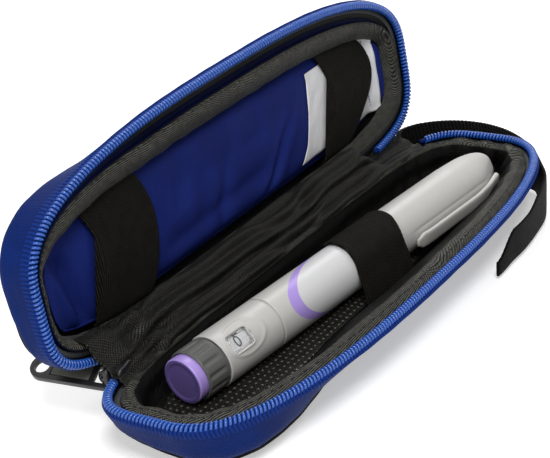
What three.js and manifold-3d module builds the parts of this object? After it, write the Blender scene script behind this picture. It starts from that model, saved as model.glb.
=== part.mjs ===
// Insulin cooling case, open, with a gel pad in its lid and an injection pen in its tray.
// Millimetres. +X runs from the slider end to the webbing end, +Y points to the hinge, +Z up.
// The origin is on the resting face, midway along the case and on the outline's centre line.
import * as THREE from "three";
import { mergeVertices } from "three/addons/utils/BufferGeometryUtils.js";
import Module from "manifold-3d";

const wasm = await Module();
wasm.setup();

// Clearances
const gap = 0.3; // between pieces that touch
const wrapGap = 0.1; // between a wrapped label and its barrel
const overrun = 1; // how far a cutting solid runs past what it cuts

// Injection pen, measured along its axis from the button's face
const labelStart = 38;
const penLabelLength = 50;
const barrelRim = 4; // from the label to the barrel's front end
const barrelEnd = labelStart + penLabelLength + barrelRim;
const cartridgeSeat = 10; // how far the cartridge starts inside the barrel
const cartridgeLength = 54;
const cartridgeStart = barrelEnd - cartridgeSeat;
const cartridgeEnd = cartridgeStart + cartridgeLength;
const capRoom = 28; // from the cartridge's neck to the cap's tip
const penLength = cartridgeEnd + capRoom;

// Case outline, seen from above, along the middle of the zip's teeth
const penRoom = 23.6; // from the pen's ends to the case's, if it lay in the middle
const halfLength = penLength / 2 + penRoom;
const frontReach = 32.5;
const backReach = 31.6;
const frontSquareness = 2.7;
const backSquareness = 5;
const zipEndX = halfLength - 11.6; // where the teeth stop, each side of the middle
const zipSteps = 36;
const outlineFineSteps = 1500; // for measuring along the outline
const backSteps = 16;

// Hinge
const hingeSetback = 1; // from the back wall's face to the hinge axis
const hingeHeight = 18.5;
const openAngle = THREE.MathUtils.degToRad(93.4);
const partingRise = 1.65; // from the hinge axis up to the plane where both halves meet
const trayDepth = 20.15;
const lidDepth = 18.15;

// Zip teeth and tape
const teethWidth = 3.2;
const teethHeight = 2.9;
const tapeHeight = 9.6;
const tapeThickness = 0.9;
const tapeFlare = 3.2; // how far the tape stands out at the slider end
const flareEndInset = 65.6; // from the strap end; the tape stands straight beyond this
const flareSpan = 110;
const tapeDraw = 10; // how far the front's tape draws in at its foot, away from the slider end
const drawStartInset = 17.6; // from the slider end; the tape isn't drawn in before this
const trayDrawSpan = 120;
const lidDrawSpan = 64;

// Walls of each half, from the outside in
const shellWall = 1.4;
const foamWall = 1.6;
const liningWall = 0.7;
const teethOverhang = 0.6; // the shell's face stands this far outside the middle of the teeth
const baseInset = { end: 16, front: 15, back: 4.5 }; // from the wall to the flat base
const meshThickness = 0.5;

// Rolled edges of both linings
const trayRoll = { end: 4.8, front: 5, back: 2 };
const lidRoll = { end: 4, front: 13.5, back: 3 };
const trayRollRise = 1.3;
const lidRollRise = 1.6;
const trayRollDrop = 9; // from the wall's top down to where the roll meets the wall
const lidLipDrop = 4.2; // from the wall's top to the lip over the pad
const lipThickness = 0.8;

// Cooling pad and its label, in the closed lid
const padInset = { end: 9.2, front: 15.6, back: 7.2 }; // from the case outline
const padFaceHeight = 28.2;
const padThickness = 5.4;
const padEdgeHeight = 2.9; // from the pad's face to its edge
const padFlatness = 8; // the higher, the flatter its middle
const padWaist = 1.2; // how far the long sides draw in
const padEndCurl = 4.4; // how far both ends turn up towards the tray
const padCurlLength = 9;
const labelStartInset = 58.6; // from the strap end of the case
const labelEndInset = 12.6;
const labelHalfWidth = 14;
const labelCentreY = 3;
const labelSlantShare = 0.3;
const labelThickness = 0.25;
const labelGap = 0.45; // over the pad's crowned face

// Elastic bands
const elasticThickness = 0.7;
const nearElasticWidth = 27;
const nearElasticInset = 48.6; // from the slider end of the case to its middle
const farElasticWidth = 31;
const farElasticInset = 31.6; // from the strap end of the case to its middle
const penElasticWidth = 26;
const penElasticFootSpread = 13.2;
const penElasticSetback = 3.1; // from the barrel's front end back to its middle
const penElasticSteps = 10;
const penElasticHug = THREE.MathUtils.degToRad(78.5); // each side of the pen's crest
const penElasticLegSlant = 0.85;

// Hinge cloth
const spineInset = 31.6; // from each end of the case
const spineReach = 9;
const spineThickness = 0.5;
const hingeClothThickness = 0.8;
const hingeClothRise = 2; // how far it arches over the gap between both rolls

// Webbing strap
const webbingThickness = 1.6;
const webbingTop = 17.4; // above the resting face, where its lower edge stands
const webbingTipDrop = 12;
const webbingTipLift = 1;
const webbingSteps = 40;

// Zip slider and pull
const sliderYaw = THREE.MathUtils.degToRad(10);
const sliderLength = 7.6; // along the zip
const sliderHeight = 5.6;
const sliderPlate = 1.1;
const sliderMouth = 3.8;
const sliderPost = 1.6;
const sliderSkirt = 2.4; // how far the outer plate reaches down
const bridgeDrop = 2.9; // from the slider's middle down to the bridge's middle
const bridgeHeight = 4.8;
const bridgeReach = 3;
const bridgeBar = 1;
const pullRoll = THREE.MathUtils.degToRad(22);
const pullRise = THREE.MathUtils.degToRad(4);
const pullLength = 26; // from the pin's axis to the tip
const pullWidth = 9;
const pullThickness = 1.8;
const pullHeel = 1.1; // from the pin's axis to the near end
const pullNotchDepth = 3.8; // from the pin's axis
const pullNotchWidth = 5.8;
const pullHoleLength = 5;
const pullHoleWidth = 5.2;
const pinRadius = 0.7;
const insertLength = 13;
const insertWidth = 5;
const insertThickness = 0.6;
const pullRim = 1.4;

// The pen's place in the tray, and its pieces
const penInset = 27.2; // from the slider end of the case to the button's face
const penStart = { x: penInset - halfLength, y: 13.2, z: 13.8 };
const penYaw = THREE.MathUtils.degToRad(6.65);
const penTilt = THREE.MathUtils.degToRad(1.1);
const penRoll = THREE.MathUtils.degToRad(50);
const penSides = 24;
const runningGap = 0.3;
const buttonRadius = 7.6;
const buttonReach = 3.2; // how far the button stands out of the grip
const buttonThickness = 1.8;
const buttonFaceShare = 0.9; // radius of its flat face
const buttonEdge = 0.5; // how far the rounded edge reaches back
const buttonTravel = 1.2;
const buttonStemRadius = 3.6;
const buttonStemLength = 10;
const gripRadius = 8.6;
const gripLength = 9.2;
const gripFlutes = 12;
const fluteStart = 1.1;
const fluteEnd = 7.4;
const fluteEndShare = 0.6; // of the depth, where the flutes run out
const fluteDepth = 0.5;
const barrelRadius = 8.9;
const barrelWall = 1.5;
const spigotLength = 8;
const sleeveWall = 0.9;
const sleeveLength = 40;
const driveWall = 0.9;
const driveLead = 20; // how far the drive sleeve reaches under the label
const windowLength = 9;
const windowWidth = 6;
const windowOffset = 3; // from the barrel's rear end to the window
const penLabelThickness = 0.15;
const capRadius = 9.1;
const capWall = 1;
const capNose = 24; // length of the tapered nose
const clipLength = 52;
const clipWidth = 5.2;
const clipHeight = 2.2;
const clipTurn = THREE.MathUtils.degToRad(55);
const screwRadius = 2.2;
const screwLead = 4; // how far the screw starts behind the label
const discRadius = 4.2;
const discThickness = 1;
const nutSetback = 26; // from the barrel's front end back to the nut
const nutLength = 8;
const cartridgeRadius = 5.8;
const cartridgeWall = 1;
const neckRadius = 3.4;
const neckLength = 4;
const sealRadius = 3.9;
const sealHeight = 1.6;
const stopperLength = 8;
const holderWall = 0.7;
const threadLength = 5;
const springRoom = 6; // from the button's seat to the drive sleeve
const springTurns = 4;
const springWire = 0.3;
const springTurnSteps = 12;

const hingeY = backReach + hingeSetback;
const partingHeight = hingeHeight + partingRise;
const rimDrop = gap / 2 + teethHeight + gap; // from the parting plane to the top of the walls

// One half of the case: its depth, and how its own height maps to the closed case
const tray = { depth: trayDepth, base: partingHeight - trayDepth, up: 1, drawSpan: trayDrawSpan };
const lid = { depth: lidDepth, base: partingHeight + lidDepth, up: -1, drawSpan: lidDrawSpan };

// Geometry helpers
function clampShare(value) {
  return Math.min(1, Math.max(0, value));
}

function smooth(value) {
  const s = clampShare(value);
  return s * s * (3 - 2 * s);
}

function signedVolume(positions, faces) {
  let sum = 0;
  for (let i = 0; i < faces.length; i += 3) {
    const [a, b, c] = [0, 1, 2].map((k) =>
      new THREE.Vector3(...positions[faces[i + k]]),
    );
    sum += a.dot(b.cross(c));
  }
  return sum;
}

function closedBody(positions, faces) {
  if (signedVolume(positions, faces) < 0) faces.reverse();
  const geometry = new THREE.BufferGeometry();
  geometry.setAttribute("position", new THREE.Float32BufferAttribute(positions.flat(), 3));
  geometry.setIndex(faces);
  geometry.computeVertexNormals();
  return geometry;
}

// Triangles over a flat ring of places, turned the same way as the ring
function flatFaces(positions, members) {
  const spots = members.map((m) => new THREE.Vector3(...positions[m]));
  const normal = new THREE.Vector3();
  spots.forEach((spot, i) => {
    normal.add(spot.clone().sub(spots[0]).cross(spots[(i + 1) % spots.length].clone().sub(spots[0])));
  });
  normal.normalize();
  const across = spots[1].clone().sub(spots[0]).normalize();
  const up = normal.clone().cross(across);
  const flat = spots.map((spot) => new THREE.Vector2(spot.dot(across), spot.dot(up)));
  return THREE.ShapeUtils.triangulateShape(flat, []).flatMap(([i, j, k]) => {
    const [a, b, c] = [flat[i], flat[j], flat[k]];
    const turn = (b.x - a.x) * (c.y - a.y) - (b.y - a.y) * (c.x - a.x);
    return (turn > 0 ? [i, j, k] : [i, k, j]).map((place) => members[place]);
  });
}

// Triangles from the middle of a ring to each of its sides
function fanFaces(positions, members) {
  const middle = new THREE.Vector3();
  members.forEach((m) => middle.add(new THREE.Vector3(...positions[m])));
  const hub = positions.push(middle.divideScalar(members.length).toArray()) - 1;
  return members.flatMap((m, i) => [hub, m, members[(i + 1) % members.length]]);
}

// Two triangles of a quad, parted by its shorter diagonal, so that stacked skins crease alike
function splitQuad(positions, a, b, c, d) {
  const apart = (i, j) => Math.hypot(...positions[i].map((value, k) => value - positions[j][k]));
  return apart(a, d) <= apart(b, c) ? [a, b, d, a, d, c] : [a, b, c, b, d, c];
}

// Joins rings of points into one closed surface. With loop, each ring closes on itself and flat
// faces close the first and last ring. Without it, the rings are the rails of a bar with flat ends.
function skin(rings, { loop }) {
  const positions = rings.flat();
  const n = rings[0].length;
  const faces = [];
  const sections = loop ? rings.length - 1 : rings.length;
  const steps = loop ? n : n - 1;
  for (let i = 0; i < sections; i++) {
    const next = (i + 1) % rings.length;
    for (let j = 0; j < steps; j++) {
      const [a, b] = [i * n + j, i * n + ((j + 1) % n)];
      const [c, d] = [next * n + j, next * n + ((j + 1) % n)];
      faces.push(...splitQuad(positions, a, b, c, d));
    }
  }
  const last = rings.length - 1;
  const ends = loop
    ? [rings[0].map((_, j) => j).reverse(), rings[0].map((_, j) => last * n + j)]
    : [rings.map((_, i) => i * n), rings.map((_, i) => i * n + n - 1).reverse()];
  const close = loop ? fanFaces : flatFaces;
  ends.forEach((members) => faces.push(...close(positions, members)));
  return closedBody(positions, faces);
}

// A bar with a flat section in Y and Z, from one X to another
function barAlongX(section, fromX, toX) {
  const shape = new THREE.Shape(section.map(([y, z]) => new THREE.Vector2(y, z)));
  const turn = new THREE.Matrix4().makeBasis(
    new THREE.Vector3(0, 1, 0), new THREE.Vector3(0, 0, 1), new THREE.Vector3(1, 0, 0));
  return new THREE.ExtrudeGeometry(shape, { depth: toX - fromX, bevelEnabled: false })
    .applyMatrix4(turn)
    .translate(fromX, 0, 0);
}

function toSolid(geometry) {
  const bare = geometry.clone();
  bare.deleteAttribute("normal");
  bare.deleteAttribute("uv");
  const merged = mergeVertices(bare);
  const mesh = new wasm.Mesh({
    numProp: 3,
    vertProperties: new Float32Array(merged.attributes.position.array),
    triVerts: new Uint32Array(merged.index.array),
  });
  return new wasm.Manifold(mesh);
}

function fromSolid(solid) {
  const made = solid.getMesh();
  const geometry = new THREE.BufferGeometry();
  geometry.setAttribute("position", new THREE.BufferAttribute(made.vertProperties, 3));
  geometry.setIndex(new THREE.BufferAttribute(made.triVerts, 1));
  geometry.computeVertexNormals();
  return geometry;
}

function unite(...geometries) {
  return fromSolid(geometries.map(toSolid).reduce((a, b) => a.add(b)));
}

function cut(geometry, ...tools) {
  return fromSolid(tools.map(toSolid).reduce((a, b) => a.subtract(b), toSolid(geometry)));
}

function block(x, y, z, at) {
  return new THREE.BoxGeometry(x, y, z).translate(...at);
}

function material(color, roughness, metalness = 0) {
  return new THREE.MeshStandardMaterial({ color, roughness, metalness });
}

function piece(name, geometry, finish) {
  const mesh = new THREE.Mesh(geometry, finish);
  mesh.name = name;
  return mesh;
}

const finishes = {
  shellCloth: material("#15161a", 0.9),
  foam: material("#3a3c40", 0.95),
  lining: material("#121214", 0.85),
  mesh: material("#1b1b1d", 0.9),
  blueZip: material("#2b57b8", 0.6),
  bluePad: material("#232f78", 0.7),
  whiteLabel: material("#e9e9ea", 0.6),
  elastic: material("#0e0e10", 0.9),
  webbing: material("#101012", 0.9),
  gunmetal: material("#2a2b2e", 0.35, 0.9),
  pullGrey: material("#55564f", 0.5),
  penGrey: material("#d3d1cc", 0.4),
  gripGrey: material("#77776f", 0.5),
  lavender: material("#a892dd", 0.45),
  white: material("#f4f4f2", 0.5),
  lens: material("#e8eef2", 0.1),
  glass: material("#dfeaf0", 0.05),
  rubber: material("#3b3b3f", 0.8),
  steel: material("#b9bcc0", 0.3, 1),
};

// Outline of the case as shares of its reaches, spaced evenly along each of its two stretches
function outlineShare(angle) {
  const squareness = Math.sin(angle) < 0 ? frontSquareness : backSquareness;
  const reach = Math.sin(angle) < 0 ? frontReach : backReach;
  const along = Math.abs(Math.cos(angle) / halfLength) ** squareness;
  const across = Math.abs(Math.sin(angle) / reach) ** squareness;
  const radius = (along + across) ** (-1 / squareness);
  return { x: (radius * Math.cos(angle)) / halfLength, y: (radius * Math.sin(angle)) / reach };
}

function sideReach(share) {
  return share.y < 0 ? frontReach : backReach;
}

function stretch(fromAngle, toAngle, steps) {
  const places = [];
  let run = 0;
  let last;
  for (let i = 0; i <= outlineFineSteps; i++) {
    const share = outlineShare(fromAngle + ((toAngle - fromAngle) * i) / outlineFineSteps);
    const at = new THREE.Vector2(share.x * halfLength, share.y * sideReach(share));
    if (last) run += at.distanceTo(last);
    last = at;
    places.push({ share, run });
  }
  return Array.from({ length: steps + 1 }, (_, k) => {
    const wanted = (run * k) / steps;
    return (places.find((p) => p.run >= wanted) ?? places.at(-1)).share;
  });
}

function backWallAt(x) {
  return backReach * (1 - Math.abs(x / halfLength) ** backSquareness) ** (1 / backSquareness);
}

const zipEndY = backWallAt(zipEndX);
const zipEndAngle = Math.atan2(zipEndY, zipEndX);
// The zip runs from the slider end's back corner, round the front, to the other back corner.
const zipStretch = stretch(Math.PI - zipEndAngle, 2 * Math.PI + zipEndAngle, zipSteps);
const backStretch = stretch(zipEndAngle, Math.PI - zipEndAngle, backSteps);
const wholeOutline = [...zipStretch.slice(0, -1), ...backStretch.slice(0, -1)];

function flareAt(x) {
  return tapeFlare * smooth((halfLength - flareEndInset - x) / flareSpan);
}

function drawAt(half, x) {
  return tapeDraw * smooth((x + halfLength - drawStartInset) / half.drawSpan);
}

// A point of a half at one place of the outline and one level of its section
function wallPoint(half, share, level) {
  const flare = level.flareShare * flareAt(share.x * halfLength);
  const x = (halfLength - level.end + flare) * share.x;
  const draw = level.drawShare * drawAt(half, x);
  const y = share.y < 0
    ? (frontReach - level.front + flare - draw) * share.y
    : (backReach - level.back) * share.y;
  return [x, y, half.base + half.up * level.height];
}

function ring(half, level, shares = wholeOutline) {
  return shares.map((share) => wallPoint(half, share, level));
}

// Section of the wall: rim, foot of the tape, two levels of the dome, edge of the base
const domeInsetShares = [0, 0, 0.3, 0.68, 1];
const domeHeightShares = [0, 1, 0.4, 0.08, 0];
const inwardShares = [1, 1, 0.8, 0.45, 0.25];
const upwardShares = [0, 0.1, 0.6, 0.9, 1];
const flareShares = [0, 1, 0.7, 0.25, 0];
const drawShares = [0, 1, 0.95, 0.85, 0.67];

function wallHeight(half) {
  return half.depth - rimDrop;
}

// Level i of the wall's section, moved inwards by depth
function wallLevel(half, i, depth) {
  const dome = wallHeight(half) - tapeHeight;
  const inset = (reach, overhang) =>
    reach * domeInsetShares[i] + depth * inwardShares[i] - overhang;
  return {
    end: inset(baseInset.end, teethOverhang),
    front: inset(baseInset.front, teethOverhang),
    back: inset(baseInset.back, 0),
    height: (i === 0 ? wallHeight(half) : dome * domeHeightShares[i]) + depth * upwardShares[i],
    flareShare: flareShares[i],
    drawShare: drawShares[i],
  };
}

function wallLevels(half, depth) {
  return domeInsetShares.map((_, i) => wallLevel(half, i, depth));
}

function bowl(half, outer, inner) {
  const levels = [...outer].reverse().concat(inner);
  return skin(levels.map((level) => ring(half, level)), { loop: true });
}

function caseShell(half) {
  return bowl(half, wallLevels(half, 0), wallLevels(half, shellWall));
}

const foamDepth = shellWall + gap;
const liningDepth = foamDepth + foamWall + gap;

function caseFoam(half) {
  return bowl(half, wallLevels(half, foamDepth), wallLevels(half, foamDepth + foamWall));
}

// A level of a lining's rolled edge, at a share of the roll's width in from the wall
function rollLevel(roll, share, height, flareShare, drawShare) {
  return {
    end: liningDepth - teethOverhang + roll.end * share,
    front: liningDepth - teethOverhang + roll.front * share,
    back: liningDepth + roll.back * share,
    height,
    flareShare,
    drawShare,
  };
}

// Rolled edge of the tray's lining, from its crest down to the wall
const trayRollShares = [
  { inward: 0.15, rise: 0.75, drop: 0, flare: 0, draw: 0 },
  { inward: 0.5, rise: 1, drop: 0, flare: 0, draw: 0 },
  { inward: 0.9, rise: 0.3, drop: 0, flare: 0.1, draw: 0.05 },
  { inward: 1, rise: 0, drop: 0.35, flare: 0.3, draw: 0.35 },
  { inward: 0.7, rise: 0, drop: 0.8, flare: 0.8, draw: 0.8 },
];

function trayLining() {
  const inner = trayRollShares.map((share) => {
    const height = wallHeight(tray) + trayRollRise * share.rise - trayRollDrop * share.drop;
    return rollLevel(trayRoll, share.inward, height, share.flare, share.draw);
  });
  const walls = wallLevels(tray, liningDepth + liningWall).slice(2);
  return bowl(tray, wallLevels(tray, liningDepth), [...inner, ...walls]);
}

// Rolled edge of the lid's lining, from its crest out to the lip over the pad and back under it
const lidRollShares = [
  { inward: 0.08, rise: 0.7, drop: 0, underLip: 0, flare: 0, draw: 0 },
  { inward: 0.25, rise: 0.7, drop: 0, underLip: 0, flare: 0, draw: 0 },
  { inward: 0.65, rise: 0, drop: 0.25, underLip: 0, flare: 0.2, draw: 0 },
  { inward: 1, rise: 0, drop: 1, underLip: 0, flare: 0.5, draw: 0 },
  { inward: 0.9, rise: 0, drop: 1, underLip: 1, flare: 0.5, draw: 0 },
  { inward: 0.3, rise: 0, drop: 1, underLip: 2, flare: 0.7, draw: 0.6 },
];

function lidLining() {
  const inner = lidRollShares.map((share) => {
    const height =
      wallHeight(lid) + lidRollRise * share.rise - lidLipDrop * share.drop - lipThickness * share.underLip;
    return rollLevel(lidRoll, share.inward, height, share.flare, share.draw);
  });
  const walls = wallLevels(lid, liningDepth + liningWall).slice(3);
  return bowl(lid, wallLevels(lid, liningDepth), [...inner, ...walls]);
}

function trayMesh() {
  const floor = wallLevel(tray, 4, liningDepth + liningWall);
  const edge = (rise) => ring(tray, { ...floor, height: floor.height + gap + rise });
  return skin([edge(0), edge(meshThickness)], { loop: true });
}

// Section of the teeth: half widths and heights as shares, round the section
const teethOutShares = [1, 0.6, -0.6, -1, -0.6, 0.6];
const teethUpShares = [0.5, 1, 1, 0.5, 0, 0];

function zipTeeth(half) {
  const rings = teethOutShares.map((out, i) => {
    const inset = (-out * teethWidth) / 2;
    const height = half.depth - gap / 2 - teethHeight * (1 - teethUpShares[i]);
    const level = { end: inset, front: inset, back: inset, height, flareShare: 0, drawShare: 0 };
    return ring(half, level, zipStretch);
  });
  return skin(rings, { loop: false });
}

function zipTape(half) {
  const sheet = (depth) => [0, 1].map((i) => wallLevel(half, i, depth));
  const [topIn, footIn] = sheet(-gap);
  const [topOut, footOut] = sheet(-gap - tapeThickness);
  const levels = [topIn, footIn, footOut, topOut];
  return skin(levels.map((level) => ring(half, level, zipStretch)), { loop: false });
}

// Cooling pad: a crowned cushion with drawn-in sides, its face towards the tray
const padRingShares = [0.3, 0.62, 0.82, 0.91, 0.97, 1];
const padHalfLength = halfLength - padInset.end;

function padHeight(x, radialShare, towardsTray) {
  const fullness = 1 - radialShare ** padFlatness;
  const curl = padEndCurl * smooth((Math.abs(x) - padHalfLength + padCurlLength) / padCurlLength);
  const edge = padFaceHeight + padEdgeHeight - curl;
  return towardsTray
    ? edge - fullness * padEdgeHeight
    : edge + fullness * (padThickness - padEdgeHeight);
}

function padPoint(share, radialShare, towardsTray) {
  const x = radialShare * padHalfLength * share.x;
  const waist = padWaist * Math.cos((x / padHalfLength) * (Math.PI / 2));
  const reach = share.y < 0 ? frontReach - padInset.front : backReach - padInset.back;
  return [x, radialShare * (reach - waist) * share.y, padHeight(x, radialShare, towardsTray)];
}

function coolingPad() {
  const padRing = (radialShare, towardsTray) =>
    wholeOutline.map((share) => padPoint(share, radialShare, towardsTray));
  const face = padRingShares.map((radialShare) => padRing(radialShare, true));
  const back = padRingShares.slice(0, -1).map((radialShare) => padRing(radialShare, false)).reverse();
  return skin([...face, ...back], { loop: true });
}

// Height of the pad's face along its middle, on the flats between its rings
function padFaceAt(x) {
  const share = x / padHalfLength;
  const next = padRingShares.findIndex((ringShare) => ringShare >= share);
  const [from, to] = [padRingShares[next - 1], padRingShares[next]];
  const heightAt = (ringShare) => padHeight(ringShare * padHalfLength, ringShare, true);
  return THREE.MathUtils.mapLinear(share, from, to, heightAt(from), heightAt(to));
}

function padLabel() {
  const steps = 12;
  const rail = (side, lift) =>
    Array.from({ length: steps + 1 }, (_, i) => {
      const start = halfLength - labelStartInset - side * labelHalfWidth * labelSlantShare;
      const x = start + (halfLength - labelEndInset - start) * (i / steps);
      const mouth = mouthReach(x, true) - 2 * gap;
      const y = Math.max(labelCentreY + side * labelHalfWidth, -mouth);
      return [x, y, padFaceAt(x) - labelGap - lift * labelThickness];
    });
  return skin([rail(-1, 0), rail(1, 0), rail(1, 1), rail(-1, 1)], { loop: false });
}

// Half width of the lid's mouth at a place along it, between the lips of the lining
function mouthReach(x, front) {
  const lip = rollLevel(lidRoll, 1, 0, 0, 0);
  const squareness = front ? frontSquareness : backSquareness;
  const reach = front ? frontReach - lip.front : backReach - lip.back;
  return reach * (1 - Math.abs(x / (halfLength - lip.end)) ** squareness) ** (1 / squareness);
}

// An elastic band of the lid, from the lip of the lining to its back roll
function lidElastic(middleX, width) {
  const face = padFaceHeight - labelGap - labelThickness - gap;
  const steps = 4;
  const rail = (front, lift) =>
    Array.from({ length: steps + 1 }, (_, i) => {
      const x = middleX + width * (i / steps - 1 / 2);
      const y = front ? gap - mouthReach(x, true) : mouthReach(x, false) - gap;
      return [x, y, face - lift * elasticThickness];
    });
  return skin([rail(true, 0), rail(false, 0), rail(false, 1), rail(true, 1)], { loop: false });
}

// Cloth along the hinge: an outer spine that wraps both back walls, and an inner lining
function openLidPoint(y, z) {
  const [dy, dz] = [y - hingeY, z - hingeHeight];
  const [c, s] = [Math.cos(openAngle), Math.sin(openAngle)];
  return [hingeY + dy * c + dz * s, hingeHeight - dy * s + dz * c];
}

const spineBendShares = [0.2, 0.5, 0.8]; // of the lid's opening angle

function hingeSpine() {
  const inner = hingeSetback - gap;
  const outer = inner - spineThickness;
  const bend = spineBendShares.map((share) => Math.PI - share * openAngle);
  const round = (radius) => bend.map((angle) =>
    [hingeY + radius * Math.cos(angle), hingeHeight + radius * Math.sin(angle)]);
  const side = (radius) => [
    [hingeY - radius, hingeHeight - spineReach],
    [hingeY - radius, hingeHeight],
    ...round(radius),
    openLidPoint(hingeY - radius, hingeHeight),
    openLidPoint(hingeY - radius, hingeHeight + spineReach),
  ];
  const section = [...side(inner), ...side(outer).reverse()];
  return barAlongX(section, spineInset - halfLength, halfLength - spineInset);
}

const hingeSeatShare = 0.5; // where the cloth lands, across the tray's back roll
const hingeClothSteps = 6;

function hingeLining() {
  const trayRollTop = tray.base + wallHeight(tray) + trayRollRise + gap;
  const trayEdge = hingeY - hingeSetback - liningDepth - trayRoll.back * hingeSeatShare;
  const lidRollTop = lid.base - wallHeight(lid) - lidRollRise * lidRollShares[0].rise - gap;
  const [lidY, lidZ] = openLidPoint(hingeY - hingeSetback - liningDepth, lidRollTop);
  const curve = new THREE.CubicBezierCurve(
    new THREE.Vector2(trayEdge, trayRollTop),
    new THREE.Vector2(hingeY - hingeSetback, trayRollTop + hingeClothRise),
    new THREE.Vector2(lidY - hingeClothRise, trayRollTop + hingeClothRise),
    new THREE.Vector2(lidY, lidZ),
  );
  const under = Array.from({ length: hingeClothSteps + 1 }, (_, i) => curve.getPoint(i / hingeClothSteps));
  const over = under.map((p, i) => {
    const along = curve.getTangent(i / hingeClothSteps);
    return [p.x - along.y * hingeClothThickness, p.y + along.x * hingeClothThickness];
  });
  const section = [...under.map((p) => [p.x, p.y]), ...over.reverse()];
  return barAlongX(section, spineInset - halfLength, halfLength - spineInset);
}

// Webbing strap: stands on edge, sewn to the back wall, round the far end, with a pointed tip
const webbingShares = [
  [0.74, 0.985], [0.83, 1.02], [0.9, 1.13], [0.95, 1.25], [1, 1.3], [1.05, 1.18], [1.1, 0.9], [1.135, 0.5],
  [1.11, 0.06], [1.04, -0.36], [0.93, -0.67], [0.8, -0.92], [0.64, -1.12], [0.48, -1.22], [0.33, -1.22],
];

const webbingTaperShare = 0.08; // of its length, at its pointed tip

function webbingStrap() {
  const route = new THREE.CatmullRomCurve3(
    webbingShares.map(([x, y]) =>
      new THREE.Vector3(x * halfLength, y * (y < 0 ? frontReach : backReach), 0)),
  );
  const along = Array.from({ length: webbingSteps + 1 }, (_, i) => i / webbingSteps);
  const rail = (side, top) => along.map((t) => {
    const at = route.getPointAt(t);
    const tangent = route.getTangentAt(t);
    const taper = smooth((t - 1 + webbingTaperShare) / webbingTaperShare);
    const x = at.x - tangent.y * side * (webbingThickness / 2);
    const y = at.y + tangent.x * side * (webbingThickness / 2);
    return [x, y, top ? webbingTop - webbingTipDrop * taper : webbingTipLift * taper];
  });
  return skin([rail(1, false), rail(1, true), rail(-1, true), rail(-1, false)], { loop: false });
}

// Zip slider and its pull, in a frame with +X along the zip and +Y outwards
const sliderDepth = sliderMouth + 2 * sliderPlate;
const bridgeMiddle = sliderDepth / 2 + bridgeReach / 2; // from the slider's middle out to the pin's axis

function sliderBody() {
  const plateY = (sliderDepth - sliderPlate) / 2;
  const inner = block(sliderLength, sliderPlate, sliderHeight, [0, -plateY, 0]);
  const outer = block(sliderLength, sliderPlate, sliderHeight + sliderSkirt, [0, plateY, -sliderSkirt / 2]);
  const post = block(sliderPost, sliderDepth - sliderPlate, sliderPost, [0, 0, 0]);
  const legs = [-1, 1].map((side) =>
    block(bridgeBar, bridgeReach + bridgeBar + sliderPlate / 2, bridgeBar, [
      0,
      sliderDepth / 2 + (bridgeReach + bridgeBar - sliderPlate / 2) / 2,
      side * (bridgeHeight - bridgeBar) / 2 - bridgeDrop,
    ]));
  const bar = block(bridgeBar, bridgeBar, bridgeHeight,
    [0, sliderDepth / 2 + bridgeReach + bridgeBar / 2, -bridgeDrop]);
  return unite(inner, outer, post, ...legs, bar);
}

const holeCentre = pullLength - pullRim - pullHoleLength / 2;
const insertCentre = holeCentre - pullHoleLength / 2 - pullRim - insertLength / 2;

// Frame of the pull: a rounded tip with a hole, and a notch between two arms that hold the pin
function pullTab() {
  const half = pullWidth / 2;
  const notch = pullNotchWidth / 2;
  const shape = new THREE.Shape();
  shape.moveTo(notch, -pullHeel);
  shape.lineTo(half, -pullHeel);
  shape.lineTo(half, pullLength - half);
  shape.absarc(0, pullLength - half, half, 0, Math.PI, false);
  shape.lineTo(-half, -pullHeel);
  shape.lineTo(-notch, -pullHeel);
  shape.lineTo(-notch, pullNotchDepth);
  shape.lineTo(notch, pullNotchDepth);
  shape.closePath();
  const hole = new THREE.Path();
  hole.absellipse(0, holeCentre, pullHoleWidth / 2, pullHoleLength / 2, 0, 2 * Math.PI, true);
  shape.holes.push(hole);
  const settings = { depth: pullThickness, bevelEnabled: false, curveSegments: 10 };
  const plate = new THREE.ExtrudeGeometry(shape, settings).translate(0, 0, -pullThickness / 2);
  const recess = block(insertWidth + 2 * gap, insertLength + 2 * gap, insertThickness + gap + overrun,
    [0, insertCentre, pullThickness / 2 + (overrun - insertThickness - gap) / 2]);
  return cut(plate, recess);
}

function pullInsert() {
  return block(insertWidth, insertLength, insertThickness,
    [0, insertCentre, pullThickness / 2 - insertThickness / 2]);
}

function pullPin() {
  return new THREE.CylinderGeometry(pinRadius, pinRadius, pullNotchWidth - 2 * gap, 10)
    .rotateZ(Math.PI / 2);
}

// Turned pieces of the pen, from [distance along the axis, radius] pairs
function turned(profile) {
  const closed = profile[0][1] > 0 ? [...profile, profile[0]] : profile;
  const lathe = new THREE.LatheGeometry(closed.map(([s, r]) => new THREE.Vector2(r, s)), penSides);
  const bare = lathe.rotateZ(-Math.PI / 2);
  bare.deleteAttribute("normal");
  bare.deleteAttribute("uv");
  const merged = mergeVertices(bare);
  const spots = Array.from({ length: merged.attributes.position.count }, (_, i) =>
    new THREE.Vector3().fromBufferAttribute(merged.attributes.position, i).toArray());
  const faces = [];
  const index = merged.index.array;
  for (let i = 0; i < index.length; i += 3) {
    const [a, b, c] = [index[i], index[i + 1], index[i + 2]];
    if (a !== b && b !== c && a !== c) faces.push(a, b, c);
  }
  return closedBody(spots, faces);
}

function tube(start, end, outer, inner) {
  return turned([[start, outer], [end, outer], [end, inner], [start, inner]]);
}

const gripStart = buttonReach;
const gripEnd = gripStart + gripLength;
const barrelStart = gripEnd + gap;
const barrelBore = barrelRadius - barrelWall;
const sleeveRadius = barrelBore - runningGap;
const driveRadius = sleeveRadius - sleeveWall - runningGap;
const buttonSeat = gripStart + buttonTravel + buttonThickness + gap;
const driveStart = buttonSeat + springRoom;

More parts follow.
